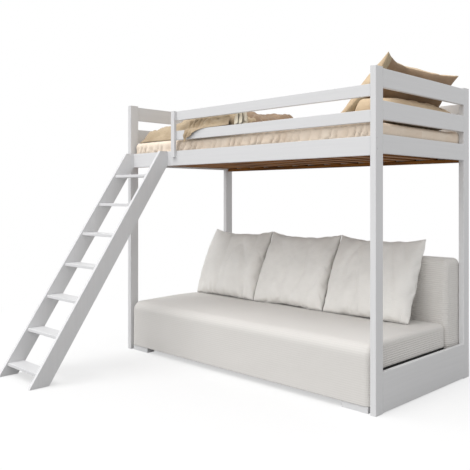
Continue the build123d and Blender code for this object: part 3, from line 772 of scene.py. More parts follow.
def settle_filling(piece, seed, top_sag, widen, crease, peak=2.5, skew=0.0, foot=0.0):
    """Let a stuffed piece's filling settle: the top seam sinks, folds and creases run down the cloth.

    peak says how near to its corners the top seam starts to sink: more makes a sharper corner. skew
    makes the sinking less towards +X. foot is how far the filling bulges at the bottom, where the cloth
    is gathered into short upright folds.
    """
    places = get_points(piece)
    half = places.max(axis=0)
    for i, (x, y, z) in enumerate(places):
        u, v, side = x / half[0], y / half[1], math.copysign(1.0, z)
        high, deep = max(0.0, v), max(0.0, -v)
        inner = max(0.0, 1 - u**6) * max(0.0, 1 - v**6)
        folds = WIDE_FOLD[0] * wobble((x, 0.5 * y, 0), WIDE_FOLD[1], seed + 2)
        folds += FINE_FOLD[0] * wobble((x, 0.35 * y, z), FINE_FOLD[1], seed)
        bent = (x + 0.25 * y * math.sin(5 * x + seed), 0.32 * y, 0.2 * side)
        sharp = max(0.0, 1 - CREASE_THIN * abs(wobble(bent, CREASE_SIZE, seed + 4))) ** 1.5
        gathers = 0.5 + 0.5 * math.sin(x * SEAM_WAVES + 5 * wobble((x, 0, 0), 0.08, seed + 6))
        edge = max(0.0, v**2 - SEAM_FROM) * gathers
        lean = side * inner * (folds - crease * sharp - 0.5 * crease * edge)
        if foot:
            near = max(0.0, 1 - (v + 1) / FOOT_REACH)
            fold = abs(math.sin(math.pi * (x / FOOT_PITCH + 1.4 * wobble((x, 0, 0), 0.12, seed + 9))))
            strong = max(0.0, 0.55 + 1.1 * wobble((x, 1, 0), 0.13, seed + 5))
            off_end = min(1.0, SEAM_STEEP * (1 - abs(u)))
            lean -= side * foot * (1 - fold) ** 1.5 * strong * near * off_end
        sink = top_sag * (1 - skew * max(0.0, u + 0.4))
        places[i, 0] = max(-half[0], min(half[0], x * (1 + widen * (1 - v**2) * u**2)))
        sink *= max(0.0, 1 - abs(u) ** peak) * high**2
        places[i, 1] = y - sink - foot * (1 - abs(u) ** 3) * deep**3
        places[i, 2] = (z + lean) * (1 - TOP_THIN * high**2)
    set_points(piece, places)


def inside_seams(piece):
    """A hold that leaves the piece's seams where they are and frees the cloth away from them."""
    half = get_points(piece).max(axis=0)

    def hold(place):
        along, up = 1 - abs(place.x) / half[0], 1 - abs(place.y) / half[1]
        return clamped(SEAM_STEEP * along) * clamped(SEAM_STEEP * up)

    return hold


def lay_out(panel, centre, across, up):
    """Place a panel's X along across and its Y along up, round a centre."""
    across, up = Vector(across).normalized(), Vector(up).normalized()
    basis = np.array([tuple(across), tuple(up), tuple(across.cross(up))])
    set_points(panel, get_points(panel) @ basis + np.array(tuple(centre)))


print("stuffing takes up to", SIM_FRAMES, "frames, folds are", WIDE_FOLD[1], "and", FINE_FOLD[1], "m wide")


# %% [markdown]
# The three sofa cushions stand on the seat and lean on the backrest at about 67 degrees. Each is stuffed on
# its own, so their folds differ, and where they touch the seat or the backrest they are pressed flat. Each
# sits a little to the left of its place in the CAD model, as in the photograph.

# %% Back cushions
CUSHION_TILT = math.radians(66.6)
CUSHION_CHORD, CUSHION_THICK, CUSHION_GAP = 0.522, 0.16, 0.008
CUSHION_STEP = 0.0095
CUSHION_FOOT, FOOT_SINK = 0.5625, 0.0015
REST_GAP = 0.0006
SHIFTS = {"left": (-0.028, -0.026), "middle": (-0.028, -0.018), "right": (-0.020, -0.002)}
cushion_up = Vector((0, math.cos(CUSHION_TILT), math.sin(CUSHION_TILT)))


def press_on_sofa(piece):
    """Keep the piece above the crowned seat and in front of the backrest."""
    places = get_points(piece)
    top = seat_high.z - SEAT_CROWN * ((places[:, 1] - seat_mid) / seat_half) ** 2 + REST_GAP
    places[:, 2] = np.maximum(places[:, 2], top)
    rise = (places[:, 2] - back_mid) / back_half
    face = back_low.y + BACK_BULGE * np.clip(rise, -1, 1) ** 2 - REST_GAP
    below = places[:, 2] < back_high.z
    places[:, 1] = np.where(below, np.minimum(places[:, 1], face), places[:, 1])
    set_points(piece, places)


for number, (side, (shift_left, shift_right)) in enumerate(SHIFTS.items()):
    name = f"back_cushion_{side}"
    low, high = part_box(name)
    left, right = low.x + shift_left, high.x + shift_right
    cushion = double_panel(f"cushion_{side}", right - left, CUSHION_CHORD, CUSHION_STEP, CUSHION_GAP)
    stuff(cushion, CUSHION_THICK, CUSHION_GAP, 0.6, 3.0 + number)
    settle_filling(cushion, 7.0 + 3 * number, 0.012, 0.07, 0.013, foot=0.024)
    creases = [(0.05, 0.003, 14.0 + number), (0.026, 0.0014, 17.0 + number)]
    soften(cushion, creases, inside_seams(cushion))
    foot = Vector(((left + right) / 2, CUSHION_FOOT, seat_high.z - FOOT_SINK))
    lay_out(cushion, foot + cushion_up * (CUSHION_CHORD / 2), (1, 0, 0), cushion_up)
    press_on_sofa(cushion)
    apply_modifier(cushion, "SUBSURF", levels=1, render_levels=1)
    press_on_sofa(cushion)
    shade_smooth(cushion)
    give(cushion, cushion_linen)
    dress(cushion, name, "cushion_fabric", name)
print("cushions stuffed")


# %% [markdown]
# The mattress is a foam block in a ticking cover, lofted like the sofa. Only its underside shows, in the
# gaps between the slats, and there it is near-black as painted shade.

# %% Mattress
mat_low, mat_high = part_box("mattress")
TUCK, SIDE_TUCK, OFF_SLATS = 0.003, 0.010, 0.0005
MATTRESS_LOW_ROUND, MATTRESS_TOP_ROUND, MATTRESS_END_ROUND = 0.012, 0.022, 0.02
MATTRESS_PROFILE, MATTRESS_STATION = 0.03, 0.05
KEEP_MATTRESS_CREASE = 60
rear, front = mat_high.y - SIDE_TUCK, mat_low.y + SIDE_TUCK
bottom, top = mat_low.z + OFF_SLATS, mat_high.z - TUCK
mattress_corners = [
    (rear, bottom, MATTRESS_LOW_ROUND),
    (front, bottom, MATTRESS_LOW_ROUND),
    (front, top, MATTRESS_TOP_ROUND),
    (rear, top, MATTRESS_TOP_ROUND),
]
mattress = loft_block(
    "mattress_pad",
    corner_loop(mattress_corners, MATTRESS_PROFILE),
    mat_low.x + SIDE_TUCK,
    mat_high.x - SIDE_TUCK,
    MATTRESS_END_ROUND,
    MATTRESS_STATION,
    mat_low.z,
)
outward(mattress)
give(mattress, mattress_ticking, mattress_painted_shade)
# Painted shade: faces turned down get the near-black copy.
for face in mattress.data.polygons:
    face.material_index = 1 if face.normal.z < -0.9 else 0
shade_smooth(mattress, KEEP_MATTRESS_CREASE)
dress(mattress, "bed_frame", "sheet_fabric", "mattress")
print("mattress", len(mattress.data.polygons), "faces")


# %% [markdown]
# A cotton sheet is pulled over the mattress and tucked in loosely. It could be draped by simulation, but it
# hangs in a narrow gap between mattress and rails, so it is drawn as rings of points from the middle of
# the top out to the edge and down. Along the sides it stands off in leaning pleats; at the head
# and the foot it is pulled nearly smooth, and at the rear corner of the head it is bunched up a little.

# %% Outline and pleats of the sheet
FOLD_PITCH, FOLD_LEAN = 0.058, 0.45
END_CALM, MEAN_FOLD = 0.8, 0.8


def rounded_plan(half_x, half_y, radius, count):
    """Points round a rectangle with rounded corners, evenly spaced: place, way out and run of each."""
    straight_x, straight_y = half_x - radius, half_y - radius
    quarter = math.pi * radius / 2
    total = 4 * (straight_x + straight_y + quarter)
    plan = []
    for k in range(count):
        s = (total * k / count + straight_y) % total
        for side in range(4):
            length = 2 * (straight_y if side % 2 == 0 else straight_x)
            turn = side * math.pi / 2
            out = Vector((math.cos(turn), math.sin(turn)))
            along = Vector((-out.y, out.x))
            reach = abs(out.x) * half_x + abs(out.y) * half_y
            if s < length:
                facing, place = out, out * reach + along * (s - length / 2)
                break
            s -= length
            if s < quarter:
                angle = turn + s / radius
                facing = Vector((math.cos(angle), math.sin(angle)))
                place = out * (reach - radius) + along * (length / 2) + facing * radius
                break
            s -= quarter
        plan.append((place, facing, total * k / count))
    return plan


def fold_depth(run, up, facing=None):
    """How far the sheet stands off its side, from 0 to 1: leaning pleats of uneven width.

    With facing, the folds are calmed where the sheet faces the head or the foot.
    """
    run = run - FOLD_LEAN * up
    drift = 1.1 * wobble((run, 0, 0), 0.16, 5.5) + 0.35 * wobble((run, 4 * up, 0), 0.07, 2.2)
    ridge = abs(math.sin(math.pi * (run / FOLD_PITCH + drift)))
    narrow = abs(math.sin(math.pi * (run / (0.43 * FOLD_PITCH) + 2 * drift)))
    strong = min(1.0, max(0.45, 0.8 + 0.75 * wobble((run, 0, 0), 0.19, 9.1)))
    fold = strong * (0.82 * ridge**0.8 + 0.18 * narrow)
    return fold if facing is None else fold + END_CALM * facing.x**2 * (MEAN_FOLD - fold)


# %% [markdown]
# The rings are laid from the middle of the top out to the rounded edge, over it, and down the sides to just
# above the slats. At the rear corner of the head the sheet rises a little, as if bunched up there.

# %% Sheet over the mattress
AROUND, DROPS = 900, 9
EDGE_ROUND, PLAN_ROUND = 0.026, 0.022
RING_INSETS = (0.33, 0.3, 0.24, 0.18, 0.13, 0.09, 0.065, 0.045, EDGE_ROUND)
HANG_LOW = mat_low.z + 0.006
STAND_TOP, STAND_LOW, FOLD_SINK, FOLD_TALL = 0.012, 0.0165, 0.0085, 0.1
BUNCH, BUNCH_LONG, BUNCH_WIDE, BUNCH_RISE = 0.013, 0.12, 0.09, 0.05
SPINE_END = 0.42
SHEET_THICK, JOIN_BELOW = 0.0012, 0.00002


def make_sheet():
    """The sheet as rings: from the middle of the top out to the edge, over it and down."""
    centre, top = (mat_low + mat_high) / 2, mat_high.z
    half_x, half_y = (mat_high.x - mat_low.x) / 2, (mat_high.y - mat_low.y) / 2
    plan = rounded_plan(half_x, half_y, PLAN_ROUND, AROUND)
    points, outs = [], []

    def bunch(spot):
        """How far the sheet is bunched up over the mattress at the rear corner of the head."""
        near_end = clamped((spot.x - half_x + BUNCH_LONG) / BUNCH_LONG)
        return BUNCH * near_end * clamped((spot.y - half_y + BUNCH_WIDE) / BUNCH_RISE)

    for inset in RING_INSETS:
        near = max(0.0, 1 - (inset - EDGE_ROUND) / 0.07)
        shrink = Vector((half - inset) / (half - EDGE_ROUND) for half in (half_x, half_y))
        for place, facing, run in plan:
            spot = (place - facing * EDGE_ROUND) * shrink
            lift = 0.0025 * near * fold_depth(run, FOLD_TALL) + 0.0012 * wobble((*spot, 0), 0.12, 6.0)
            height = top + 0.0004 + max(0.0, lift) + bunch(spot)
            points.append((centre.x + spot.x, centre.y + spot.y, height))
        outs.append(inset - EDGE_ROUND)
    for angle in QUARTER[1:]:
        for place, facing, run in plan:
            stand = STAND_TOP * math.sin(angle) * fold_depth(run, FOLD_TALL, facing)
            spot = place - facing * (EDGE_ROUND * (1 - math.sin(angle)) - stand)
            height = top - EDGE_ROUND * (1 - math.cos(angle)) + bunch(spot) * math.cos(angle)
            points.append((centre.x + spot.x, centre.y + spot.y, height))
        outs.append(-EDGE_ROUND * angle)
    for step in range(1, DROPS + 1):
        share = step / DROPS
        height = top - EDGE_ROUND - share * (top - EDGE_ROUND - HANG_LOW)
        for place, facing, run in plan:
            fold = fold_depth(run, FOLD_TALL * (1 - share), facing)
            stand = (STAND_TOP + (STAND_LOW - STAND_TOP) * share) * fold
            spot = place + facing * (stand - FOLD_SINK * (1 - fold) * min(1, 3 * share))
            points.append((centre.x + spot.x, centre.y + spot.y, height))
        outs.append(-EDGE_ROUND * math.pi / 2 - share * FOLD_TALL)
    faces, uvs = [], []
    spacing = plan[1][2]
    for r, i, face in ring_faces(len(outs), AROUND):
        start = plan[i][2]
        faces.append(face)
        ends = (start, start, start + spacing, start + spacing)
        uvs.append(list(zip(ends, (outs[r], outs[r + 1], outs[r + 1], outs[r]))))
    middle = len(points)
    spine = [min(max(points[i][0], mat_low.x + SPINE_END), mat_high.x - SPINE_END) for i in range(AROUND)]
    points += [(x, centre.y, top + 0.0006) for x in spine]
    for i in range(AROUND):
        j = (i + 1) % AROUND
        faces.append((i, j, middle + j, middle + i))
        uvs.append([points[k][:2] for k in faces[-1]])
    return new_piece("bed_sheet", points, faces, uvs)


bed_sheet = make_sheet()
outward(bed_sheet, JOIN_BELOW)
apply_modifier(bed_sheet, "SOLIDIFY", thickness=SHEET_THICK, offset=1)
shade_smooth(bed_sheet)
give(bed_sheet, sheet_cotton)
dress(bed_sheet, "bed_frame", "sheet_fabric")
print("sheet", len(bed_sheet.data.polygons), "faces")


# %% [markdown]
# Two bed pillows lie at the right end, against the end rails and on each other. They could be dropped there
# by simulation, but then they would lie where they like and not as in the photograph, so each is stuffed
# like a cushion, put in its place, and pressed off what it touches.

# %% Helpers for the pillows
PILLOW_WIDE, PILLOW_STEP, PILLOW_GAP = 0.72, 0.013, 0.010
OFF_RAIL = 0.004


def lean(piece, start_y, near, far):
    """Stand a piece on its edge along Y, on a slope that turns from its near end to its far end.

    near and far are (x and z of the foot, tilt in degrees, length up the slope).
    """
    places = get_points(piece)
    half = places.max(axis=0)
    for i, (x, y, z) in enumerate(places):
        share = (x / half[0] + 1) / 2
        tilt = math.radians(near[1] + (far[1] - near[1]) * share)
        up = (near[2] + (far[2] - near[2]) * share) * (y / half[1] + 1) / 2
        foot_x, foot_z = (a + (b - a) * share for a, b in zip(near[0], far[0]))
        places[i] = (
            foot_x + up * math.cos(tilt) + z * math.sin(tilt),
            start_y + half[0] + x,
            foot_z + up * math.sin(tilt) - z * math.cos(tilt),
        )
    set_points(piece, places)


def keep_clear(piece, floor):
    """Keep a pillow above a height, and left of the end rails as far up as they go."""
    end_low, end_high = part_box("end_rail_right_top")
    places = get_points(piece)
    places[:, 2] = np.maximum(places[:, 2], floor)
    beside = places[:, 2] < end_high.z + OFF_RAIL
    places[:, 0] = np.where(beside, np.minimum(places[:, 0], end_low.x - OFF_RAIL), places[:, 0])
    set_points(piece, places)


def print_reach(piece):
    """Print the box that a piece takes up."""
    places = get_points(piece)
    print(piece.name, [round(v, 3) for v in (*places.min(axis=0), *places.max(axis=0))])


def press_under(piece, cover, gap):
    """Press a piece down where another one lies over it."""
    places = get_points(piece)
    for i, place in enumerate(places):
        start = Vector((place[0], place[1], mat_high.z))
        hit, spot, _, _ = cover.ray_cast(start, Vector((0, 0, 1)))
        if hit:
            places[i, 2] = min(place[2], spot.z - gap)
    set_points(piece, places)


# %% [markdown]
# The upper pillow stands on its long edge, leans over the lower one and rests on the end rail. It is
# twisted: its far end stands steeper and has sunk. Its top seam hangs between two sharp corners. Its
# underside takes a browner copy of the cotton as painted shade, and a greyer copy at its near end as
# lighter painted shade.

# %% Upper pillow
UPPER_NEAR = ((0.660, 1.495), 43, 0.470)
UPPER_FAR = ((0.803, 1.452), 56, 0.400)
UPPER_THICK, UPPER_DEEP, UPPER_BELOW = 0.150, 1.15, 0.6
END_PULL, LIGHT_SHADE_WIDE, OFF_SHEET = 0.07, 0.045, 0.004
low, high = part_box("pillow_upper")
upper = double_panel("bed_pillow_upper", PILLOW_WIDE, UPPER_NEAR[2], PILLOW_STEP, PILLOW_GAP)
give(upper, pillow_cotton, pillow_shaded_copy, pillow_light_shade_copy)
# Painted shade: the underside takes the browner copy, and a strip at its near end the greyer one.
for face in upper.data.polygons:
    underside, in_light_shade = face.center.z > PILLOW_GAP * 0.4, face.center.x < LIGHT_SHADE_WIDE - PILLOW_WIDE / 2
    face.material_index = (2 if in_light_shade else 1) if underside else 0
stuff(upper, UPPER_THICK, PILLOW_GAP, 0.7, 15.0, 2.4)
settle_filling(upper, 43.0, 0.050, 0.0, 0.006, 4.5, skew=0.4)
places = get_points(upper)
half = places.max(axis=0)
places[:, 2] *= np.where(places[:, 2] < 0, UPPER_DEEP, UPPER_BELOW)
places[:, 0] *= 1 - END_PULL * (1 - np.abs(places[:, 1] / half[1]) ** 6)
set_points(upper, places)
soften(upper, [(0.05, 0.003, 12.0), (0.026, 0.0015, 13.0)], inside_seams(upper))
lean(upper, low.y, UPPER_NEAR, UPPER_FAR)
keep_clear(upper, mat_high.z + OFF_SHEET)
apply_modifier(upper, "SUBSURF", levels=1, render_levels=1)
keep_clear(upper, mat_high.z + OFF_SHEET)
shade_smooth(upper)
dress(upper, "bed_frame", "pillow_fabric", "pillow_upper")
print_reach(upper)


# %% [markdown]
# The lower pillow lies flat on the sheet. Its filling has been pushed up to the end rail, so it is thin at
# its left edge and full at its right, and it is pressed down where the upper one lies over it.

# %% Lower pillow
PUSHED_FROM, PUSHED_TO = 0.762, 0.806
LEFT_SHARE, RIGHT_SHARE = 0.45, 1.66
OFF_SHEET_LOWER, OFF_UPPER = 0.0026, 0.003
low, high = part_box("pillow_lower")
lower = double_panel("bed_pillow_lower", PILLOW_WIDE, high.x - low.x, PILLOW_STEP, PILLOW_GAP)
stuff(lower, high.z - low.z, PILLOW_GAP, 0.9, 11.0, 8)
settle_filling(lower, 31.0, 0.0, 0.0, 0.004)
soften(lower, [(0.05, 0.003, 22.0), (0.026, 0.0015, 23.0)], inside_seams(lower))
lay_out(lower, (low + high) / 2, (0, 1, 0), (1, 0, 0))
places = get_points(lower)
pushed = np.clip((places[:, 0] - PUSHED_FROM) / (PUSHED_TO - PUSHED_FROM), 0, 1)
share = LEFT_SHARE + (RIGHT_SHARE - LEFT_SHARE) * pushed**2 * (3 - 2 * pushed)
places[:, 2] = low.z + (places[:, 2] - low.z) * share
set_points(lower, places)
for finer in (True, False):
    press_under(lower, upper, OFF_UPPER)
    keep_clear(lower, mat_high.z + OFF_SHEET_LOWER)
    if finer:
        apply_modifier(lower, "SUBSURF", levels=1, render_levels=1)
shade_smooth(lower)
give(lower, pillow_cotton)
dress(lower, "bed_frame", "pillow_fabric", "pillow_lower")
print_reach(lower)


# %% [markdown]
# The throw lies heaped at the left end: one thin cotton quilt pushed into long folds, high at the front and
# higher in the middle. Its folds are drawn as arches across the bed whose heights change along it, and slow
# and sharp noise crumples them.

# %% Folds of the throw
ALONG = (0, 0.07, 0.13, 0.25, 0.36, 0.52, 0.62, 0.75, 0.84, 0.93, 1)
FRONT_RIDGE = (0.36, 0.62, 0.68, 0.71, 0.95, 0.99, 1, 1, 1, 0.74, 0.16)
REAR_RIDGE = (0.1, 0.32, 0.43, 0.52, 0.64, 0.90, 0.98, 0.84, 0.78, 0.72, 0.40)
FRONT_HIGH, REAR_HIGH = 0.141, 0.196
RIDGE_ENDS = (0, 0.24, 0.46, 0.8, 1)
CRESTS = ((1, 0), (0.5, 0.45), (0, 1), (0, 0.42))
VALLEYS = ((0.12, 0), (0.55, 0.08), (0.15, 0.55), (0, 0.42), (0, 0.03))


def smooth_table(table, share):
    """A value from a table along the heap, eased between its entries."""
    for i in range(len(ALONG) - 1):
        if share <= ALONG[i + 1]:
            t = (share - ALONG[i]) / (ALONG[i + 1] - ALONG[i])
            return table[i] + (table[i + 1] - table[i]) * (3 * t * t - 2 * t**3)
    return table[-1]


def heap_height(along, across):
    """Height of the heap over the mattress, from shares along and across it."""
    front = FRONT_HIGH * smooth_table(FRONT_RIDGE, along)
    rear = REAR_HIGH * smooth_table(REAR_RIDGE, along)
    i = next((i for i in range(len(CRESTS)) if across <= RIDGE_ENDS[i + 1]), len(CRESTS) - 1)
    t = (across - RIDGE_ENDS[i]) / (RIDGE_ENDS[i + 1] - RIDGE_ENDS[i])
    start, end, crest = (a * front + b * rear for a, b in (VALLEYS[i], VALLEYS[i + 1], CRESTS[i]))
    arch = max(0.0, 1 - abs(2 * t - 1) ** 2.4) ** 0.75
    return start + (end - start) * t + (crest - (start + end) / 2) * arch


def crumple(x, y):
    """Crumpling of the quilt in metres: slow waves and sharp creases, mostly downwards."""
    slow = 0.007 * wobble((x, y, 0), 0.16, 3.3)
    bend = 0.05 * wobble((x, y, 1), 0.13, 4.4)
    long_at = (0.45 * x + bend, 1.2 * y - bend, 0)
    short_at = (0.8 * x - 0.5 * y, 0.9 * y + 0.5 * x + bend, 0)
    long = max(0.0, 1 - 3.2 * abs(wobble(long_at, 0.085, 6.1))) ** 1.5
    short = max(0.0, 1 - 3.0 * abs(wobble(short_at, 0.055, 9.4))) ** 1.5
    return slow - 0.013 * long - 0.006 * short


# %% [markdown]
# The cloth is a fine grid laid over those folds, with its rims down on the sheet, and a modifier gives it
# its thickness. Behind and at its right end it takes a browner copy of the wool as painted shade.

# %% Throw
throw_low, throw_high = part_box("throw_blanket")
THROW_COLUMNS, THROW_ROWS = 190, 130
THROW_PAST, THROW_THICK, THROW_LIFT, FRONT_GAP = 0.030, 0.004, 0.0035, 0.004
SHADE_FROM_X, SHADE_BEHIND_Y, SHADE_RIGHT_X = -0.56, 0.118, 0.098
RIM_SLOPE = 0.045


def grid_piece(name, points, uvs, rows, turned=False):
    """A piece from columns of points, rows apart from each other; turned faces its other side out."""
    stride = rows + 1
    steps = (0, 1, stride + 1, stride) if turned else (0, stride, stride + 1, 1)
    starts = [c * stride + r for c in range(len(points) // stride - 1) for r in range(rows)]
    faces = [tuple(start + step for step in steps) for start in starts]
    return new_piece(name, points, faces, [[uvs[k] for k in face] for face in faces])


def make_throw():
    """The throw as a grid of cloth over its folds, with its rims tucked down to the sheet."""
    wide, deep = throw_high.x + THROW_PAST - throw_low.x, throw_high.y - throw_low.y
    points, uvs = [], []
    for c in range(THROW_COLUMNS + 1):
        u = c / THROW_COLUMNS
        length, before = 0.0, None
        for r in range(THROW_ROWS + 1):
            v = r / THROW_ROWS
            v = v + 0.1 * math.sin(math.tau * v) * -0.35
            rim = 0.008 + 0.007 * wobble((u, v, 0), 0.12, 2.1)
            x = throw_low.x + rim + u * (wide - 2 * rim)
            y = throw_low.y + FRONT_GAP + rim + v * (deep - FRONT_GAP - 2 * rim)
            border = min(u * wide, (1 - u) * wide, v * deep * 1.6, (1 - v) * deep)
            settle = min(1.0, border / RIM_SLOPE) ** 0.5
            lift = heap_height(u, v) + (crumple(x, y) + 0.005) * settle
            place = Vector((x, y, mat_high.z + THROW_LIFT + max(0.0, settle * lift)))
            length += (place - before).length if before else 0.0
            before = place
            points.append(tuple(place))
            uvs.append((x, length))
    return grid_piece("quilted_throw", points, uvs, THROW_ROWS)


def throw_hold(place):
    """Crumple the heap's sides too, but leave its rims flat on the sheet."""
    return clamped((place.z - mat_high.z - 0.012) / 0.02)


def print_area(piece):
    """Print the area of one face of a thin closed cloth."""
    print(piece.name, "area", round(sum(face.area for face in piece.data.polygons) / 2, 3))


throw = make_throw()
outward(throw)
soften(throw, [(0.06, 0.003, 5.1), (0.024, 0.0012, 6.3)], throw_hold)
apply_modifier(throw, "SOLIDIFY", thickness=THROW_THICK, offset=-1)
shade_smooth(throw)
give(throw, throw_wool, throw_shaded_copy)
# Painted shade: faces behind and at the right end take the browner copy of the wool.
for face in throw.data.polygons:
    stray = 0.012 * wobble(face.center, 0.06, 2.7)
    behind = face.center.x > SHADE_FROM_X + stray and face.center.y > SHADE_BEHIND_Y + stray
    face.material_index = 1 if behind or face.center.x > SHADE_RIGHT_X else 0
dress(throw, "bed_frame", "throw_fabric", "throw_blanket")
print_area(throw)


# %% [markdown]
# One corner of the throw hangs over the middle guard rail. It is a narrow strip of the same cloth that runs
# down the heap's front, over the rail and down its face, widens where it hangs and ends in a slanted hem.
# Its path is a table of places in a section across the bed, lowered where the heap is lower.

# %% Corner of the throw over the rail
rail_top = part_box("guard_rail_front_middle")[1].z
FLAP_LEFT, FLAP_RIGHT, FLAP_TIP, FLAP_WIDE, FLAP_TURN = -0.408, -0.225, 1.414, 0.215, 0.09
FLAP_COLUMNS, FLAP_ROWS, FLAP_THICK = 34, 46, 0.0035
HANG_Y, HANG_STEPS = -0.0195, 9
BEFORE_RAIL, OVER_RAIL, PAST_RAIL = 6, 8, 9
HEAP_FROM, HEAP_GAP = 0.055, 0.005
FLAP_PLEAT, PLEAT_OUT, PLEAT_BACK = 0.043, 0.013, 0.018


def corner_path():
    """Places (y, z) down the heap's front, over the guard rail and down its face, and their runs."""
    over = rail_top + 0.0035
    path = [(0.100, 1.592), (0.082, 1.591), (0.064, 1.583), (0.048, 1.567), (0.034, 1.546), (0.020, 1.522)]
    path += [(0.008, over + 0.004), (-0.002, over), (-0.0115, over), (-0.0175, over - 0.006)]
    path.append((HANG_Y, over - 0.016))
    drop = path[-1][1]
    hang = range(1, HANG_STEPS + 1)
    path = np.array(path + [(HANG_Y - 0.001 * k, drop + (FLAP_TIP - drop) * k / HANG_STEPS) for k in hang])
    return path, np.concatenate(([0], np.cumsum(np.linalg.norm(np.diff(path, axis=0), axis=1))))


def make_corner():
    """A corner of the throw: down the heap's front, over the guard rail and down its face."""
    path, lengths = corner_path()
    full, rail_start, rail_end = lengths[-1], lengths[OVER_RAIL], lengths[PAST_RAIL]
    points, uvs = [], []
    for c in range(FLAP_COLUMNS + 1):
        u = c / FLAP_COLUMNS
        reach = FLAP_WIDE * max(0.0, u - 0.5) ** 2 * 4
        turned = FLAP_TURN * max(0.0, u - 0.5) ** 2 * 4
        end = full - (full - rail_start) * min(1.0, 1.25 * u) ** 0.8
        end -= (rail_start - lengths[BEFORE_RAIL]) * max(0.0, u - 0.8) * 5
        start = 0.02 * wobble((u, 0, 0), 0.4, 7.7) + 0.02
        for r in range(FLAP_ROWS + 1):
            along = start + (end - start) * r / FLAP_ROWS
            y, z = (float(np.interp(along, lengths, path[:, k])) for k in (0, 1))
            x = FLAP_LEFT + u * (FLAP_RIGHT - FLAP_LEFT) + reach - turned * max(0.0, y) / 0.1
            hit, spot, _, _ = throw.ray_cast(Vector((x, y, 2)), Vector((0, 0, -1)))
            if hit and y > HEAP_FROM:
                z = min(z, spot.z + HEAP_GAP)
            hang = clamped((rail_start - along) / 0.05)
            below = clamped((along - rail_end) / 0.03)
            pleat = abs(math.sin(math.pi * (x / FLAP_PLEAT + 0.7 * wobble((x, z, 0), 0.05, 1.9)))) ** 1.3
            y -= PLEAT_OUT * pleat * below + PLEAT_BACK * (pleat - 0.3) * hang
            drift = 0.014 * below * (1 - u) * (along - rail_end) / 0.09
            points.append((x + drift, y, z + 0.002 * hang * pleat))
            uvs.append((x, along))
    return grid_piece("throw_corner", points, uvs, FLAP_ROWS, turned=True)


corner = make_corner()
apply_modifier(corner, "SOLIDIFY", thickness=FLAP_THICK, offset=0)
apply_modifier(corner, "SUBSURF", levels=1, render_levels=1)
shade_smooth(corner)
give(corner, throw_wool)
dress(corner, "bed_frame", "throw_fabric")
print_area(corner)


# %% [markdown]
# A pale ruffle trims the throw's end and hangs down the heap's front: a strip of thin cotton, drawn as a
# curtain in two deep waves that fold over each other and open towards its lower edge.

# %% Ruffle on the throw
RUFFLE_COLUMNS, RUFFLE_ROWS, RUFFLE_THICK = 160, 14, 0.0026
RUFFLE_FROM, RUFFLE_TO, RUFFLE_TOP, RUFFLE_LONG = -0.004, 0.082, 1.588, 0.076
RUFFLE_WAVES, RUFFLE_DEEP, RUFFLE_SWING, RUFFLE_LEAN = 2, 0.016, 0.021, 0.016


def make_ruffle():
    """A strip of thin cotton in deep waves that fold over each other, hanging down the heap's front."""
    points, uvs = [], []
    for c in range(RUFFLE_COLUMNS + 1):
        u = c / RUFFLE_COLUMNS
        turn = math.tau * (RUFFLE_WAVES * u + 0.25 * wobble((u, 0, 0), 0.2, 3.9))
        for r in range(RUFFLE_ROWS + 1):
            v = r / RUFFLE_ROWS
            spread = min(1.0, 0.35 + v)
            swing = RUFFLE_SWING * math.sin(2 * turn + 0.9 * v) * spread
            x = RUFFLE_FROM + u * (RUFFLE_TO - RUFFLE_FROM) + swing + RUFFLE_LEAN * v
            y = 0.050 - 0.016 * v - RUFFLE_DEEP * math.sin(turn + 0.6 * v) * spread
            z = RUFFLE_TOP - RUFFLE_LONG * v + 0.012 * math.cos(turn + 1.0) * v
            points.append((x, y, z))
            uvs.append((3 * x, 0.08 * v))
    return grid_piece("throw_ruffle", points, uvs, RUFFLE_ROWS, turned=True)


ruffle = make_ruffle()
apply_modifier(ruffle, "SOLIDIFY", thickness=RUFFLE_THICK, offset=0)
shade_smooth(ruffle)
give(ruffle, fringe_yarn)
dress(ruffle, "bed_frame", "throw_fabric")
print_area(ruffle)


# %% [markdown]
# The bed stands on a plain white floor that keeps its shadow near the bed and runs out into white. That
# white comes from the floor's own material, and only for the camera, so no light is added to the bed.

# %% Floor
FLOOR_SIZE, FLOOR_DROP = 60, 0.0005
SHADOW_FADE = {"From Min": 1.2, "From Max": 3.2, "To Min": 0.55, "To Max": 1.0}
WHITE = srgb("#FFFFFF")
bpy.ops.object.select_all(action="DESELECT")
bpy.ops.mesh.primitive_plane_add(size=FLOOR_SIZE, location=(0, 0, -FLOOR_DROP))
floor = bpy.context.object
floor.name = "studio_floor"
floor_paint = bpy.data.materials.new("studio_floor_paint")
tree = empty_tree(floor_paint)
place = add(tree, "ShaderNodeTexCoord").outputs["Object"]
away = add(tree, "ShaderNodeVectorMath", links={0: place}, operation="LENGTH").outputs["Value"]
fade = add(tree, "ShaderNodeMapRange", SHADOW_FADE, {"Value": away}).outputs["Result"]
seen = add(tree, "ShaderNodeLightPath").outputs["Is Camera Ray"]
glow = add(tree, "ShaderNodeMath", links={0: seen, 1: fade}, operation="MULTIPLY").outputs[0]
greys = {"A": srgb("#AFAFAF"), "B": srgb("#F4F4F4")}
grey = add(tree, "ShaderNodeMix", greys, {"Factor": seen}, data_type="RGBA").outputs["Result"]
matt = add(tree, "ShaderNodeBsdfDiffuse", links={"Color": grey}).outputs[0]
white = add(tree, "ShaderNodeEmission", {"Color": WHITE, "Strength": 1.0}).outputs[0]
mixed = add(tree, "ShaderNodeMixShader", links={0: glow, 1: matt, 2: white}).outputs[0]
add(tree, "ShaderNodeOutputMaterial", links={"Surface": mixed})
give(floor, floor_paint)
print("floor", FLOOR_SIZE, "m wide")


# %% [markdown]
# The light is a soft white sky from all round with two broad lamps: one straight from the bed's front,
# about 30 degrees up, and a stronger one from high above, a little to the front and the left. The camera
# and mirror-like parts see a full white sky.

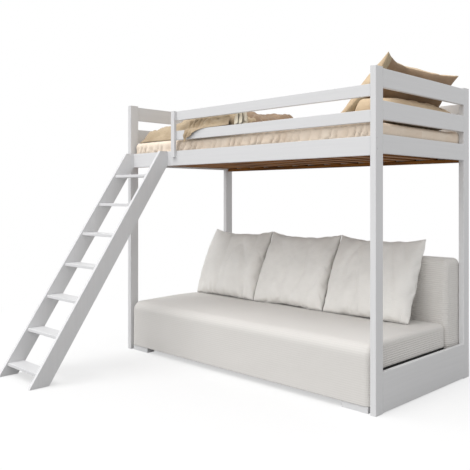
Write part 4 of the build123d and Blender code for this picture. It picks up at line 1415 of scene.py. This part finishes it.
# %% Sky and lamps
SKY = 0.66


def link_object(name, data):
    """A new object for a lamp's or a camera's data, in the scene."""
    made = bpy.data.objects.new(name, data)
    bpy.context.scene.collection.objects.link(made)
    return made


def add_lamp(name, strength, spread, comes_from):
    """A broad, far lamp that shines from one direction."""
    data = bpy.data.lights.new(name, "SUN")
    data.energy, data.angle = strength, math.radians(spread)
    link_object(name, data).rotation_euler = Vector(comes_from).to_track_quat("Z", "Y").to_euler()
    print(name, strength)


world = bpy.data.worlds.new("studio")
bpy.context.scene.world = world
tree = empty_tree(world)
ray = add(tree, "ShaderNodeLightPath").outputs
through = {0: ray["Is Camera Ray"], 1: ray["Is Transmission Ray"]}
straight = add(tree, "ShaderNodeMath", links=through, operation="MAXIMUM").outputs[0]
mirrored = {0: straight, 1: ray["Is Glossy Ray"]}
plain = add(tree, "ShaderNodeMath", links=mirrored, operation="MAXIMUM").outputs[0]
soft = add(tree, "ShaderNodeBackground", {"Color": WHITE, "Strength": SKY}).outputs[0]
bright = add(tree, "ShaderNodeBackground", {"Color": WHITE, "Strength": 1.0}).outputs[0]
either = add(tree, "ShaderNodeMixShader", links={0: plain, 1: soft, 2: bright}).outputs[0]
add(tree, "ShaderNodeOutputWorld", links={"Surface": either})
add_lamp("front_lamp", 0.82, 50, (0.06, -1.0, 0.6))
add_lamp("top_lamp", 1.3, 40, (-0.2, -0.4, 1.0))


# %% [markdown]
# The camera's place, turn and lens come from a fit to the corners of the frame in the photograph. It looks
# level, and a shifted lens puts the middle of the view where the photograph has it.

# %% Camera
FRAME_PX, PRINCIPAL, FOCAL_PX, SENSOR = 470, (263.617, 196.565), 647.678, 36
camera_data = bpy.data.cameras.new("camera")
camera_data.sensor_width = SENSOR
camera_data.lens = SENSOR * FOCAL_PX / FRAME_PX
camera_data.shift_x = (FRAME_PX / 2 - PRINCIPAL[0]) / FRAME_PX
camera_data.shift_y = (PRINCIPAL[1] - FRAME_PX / 2) / FRAME_PX
camera = link_object("camera", camera_data)
camera.location = (2.81792, -2.67114, 1.07316)
camera.rotation_euler = (math.pi / 2, 0, 0.761)
bpy.context.scene.camera = camera
bpy.context.scene.view_settings.view_transform = "Standard"
print("camera lens", round(camera_data.lens, 2), "mm")
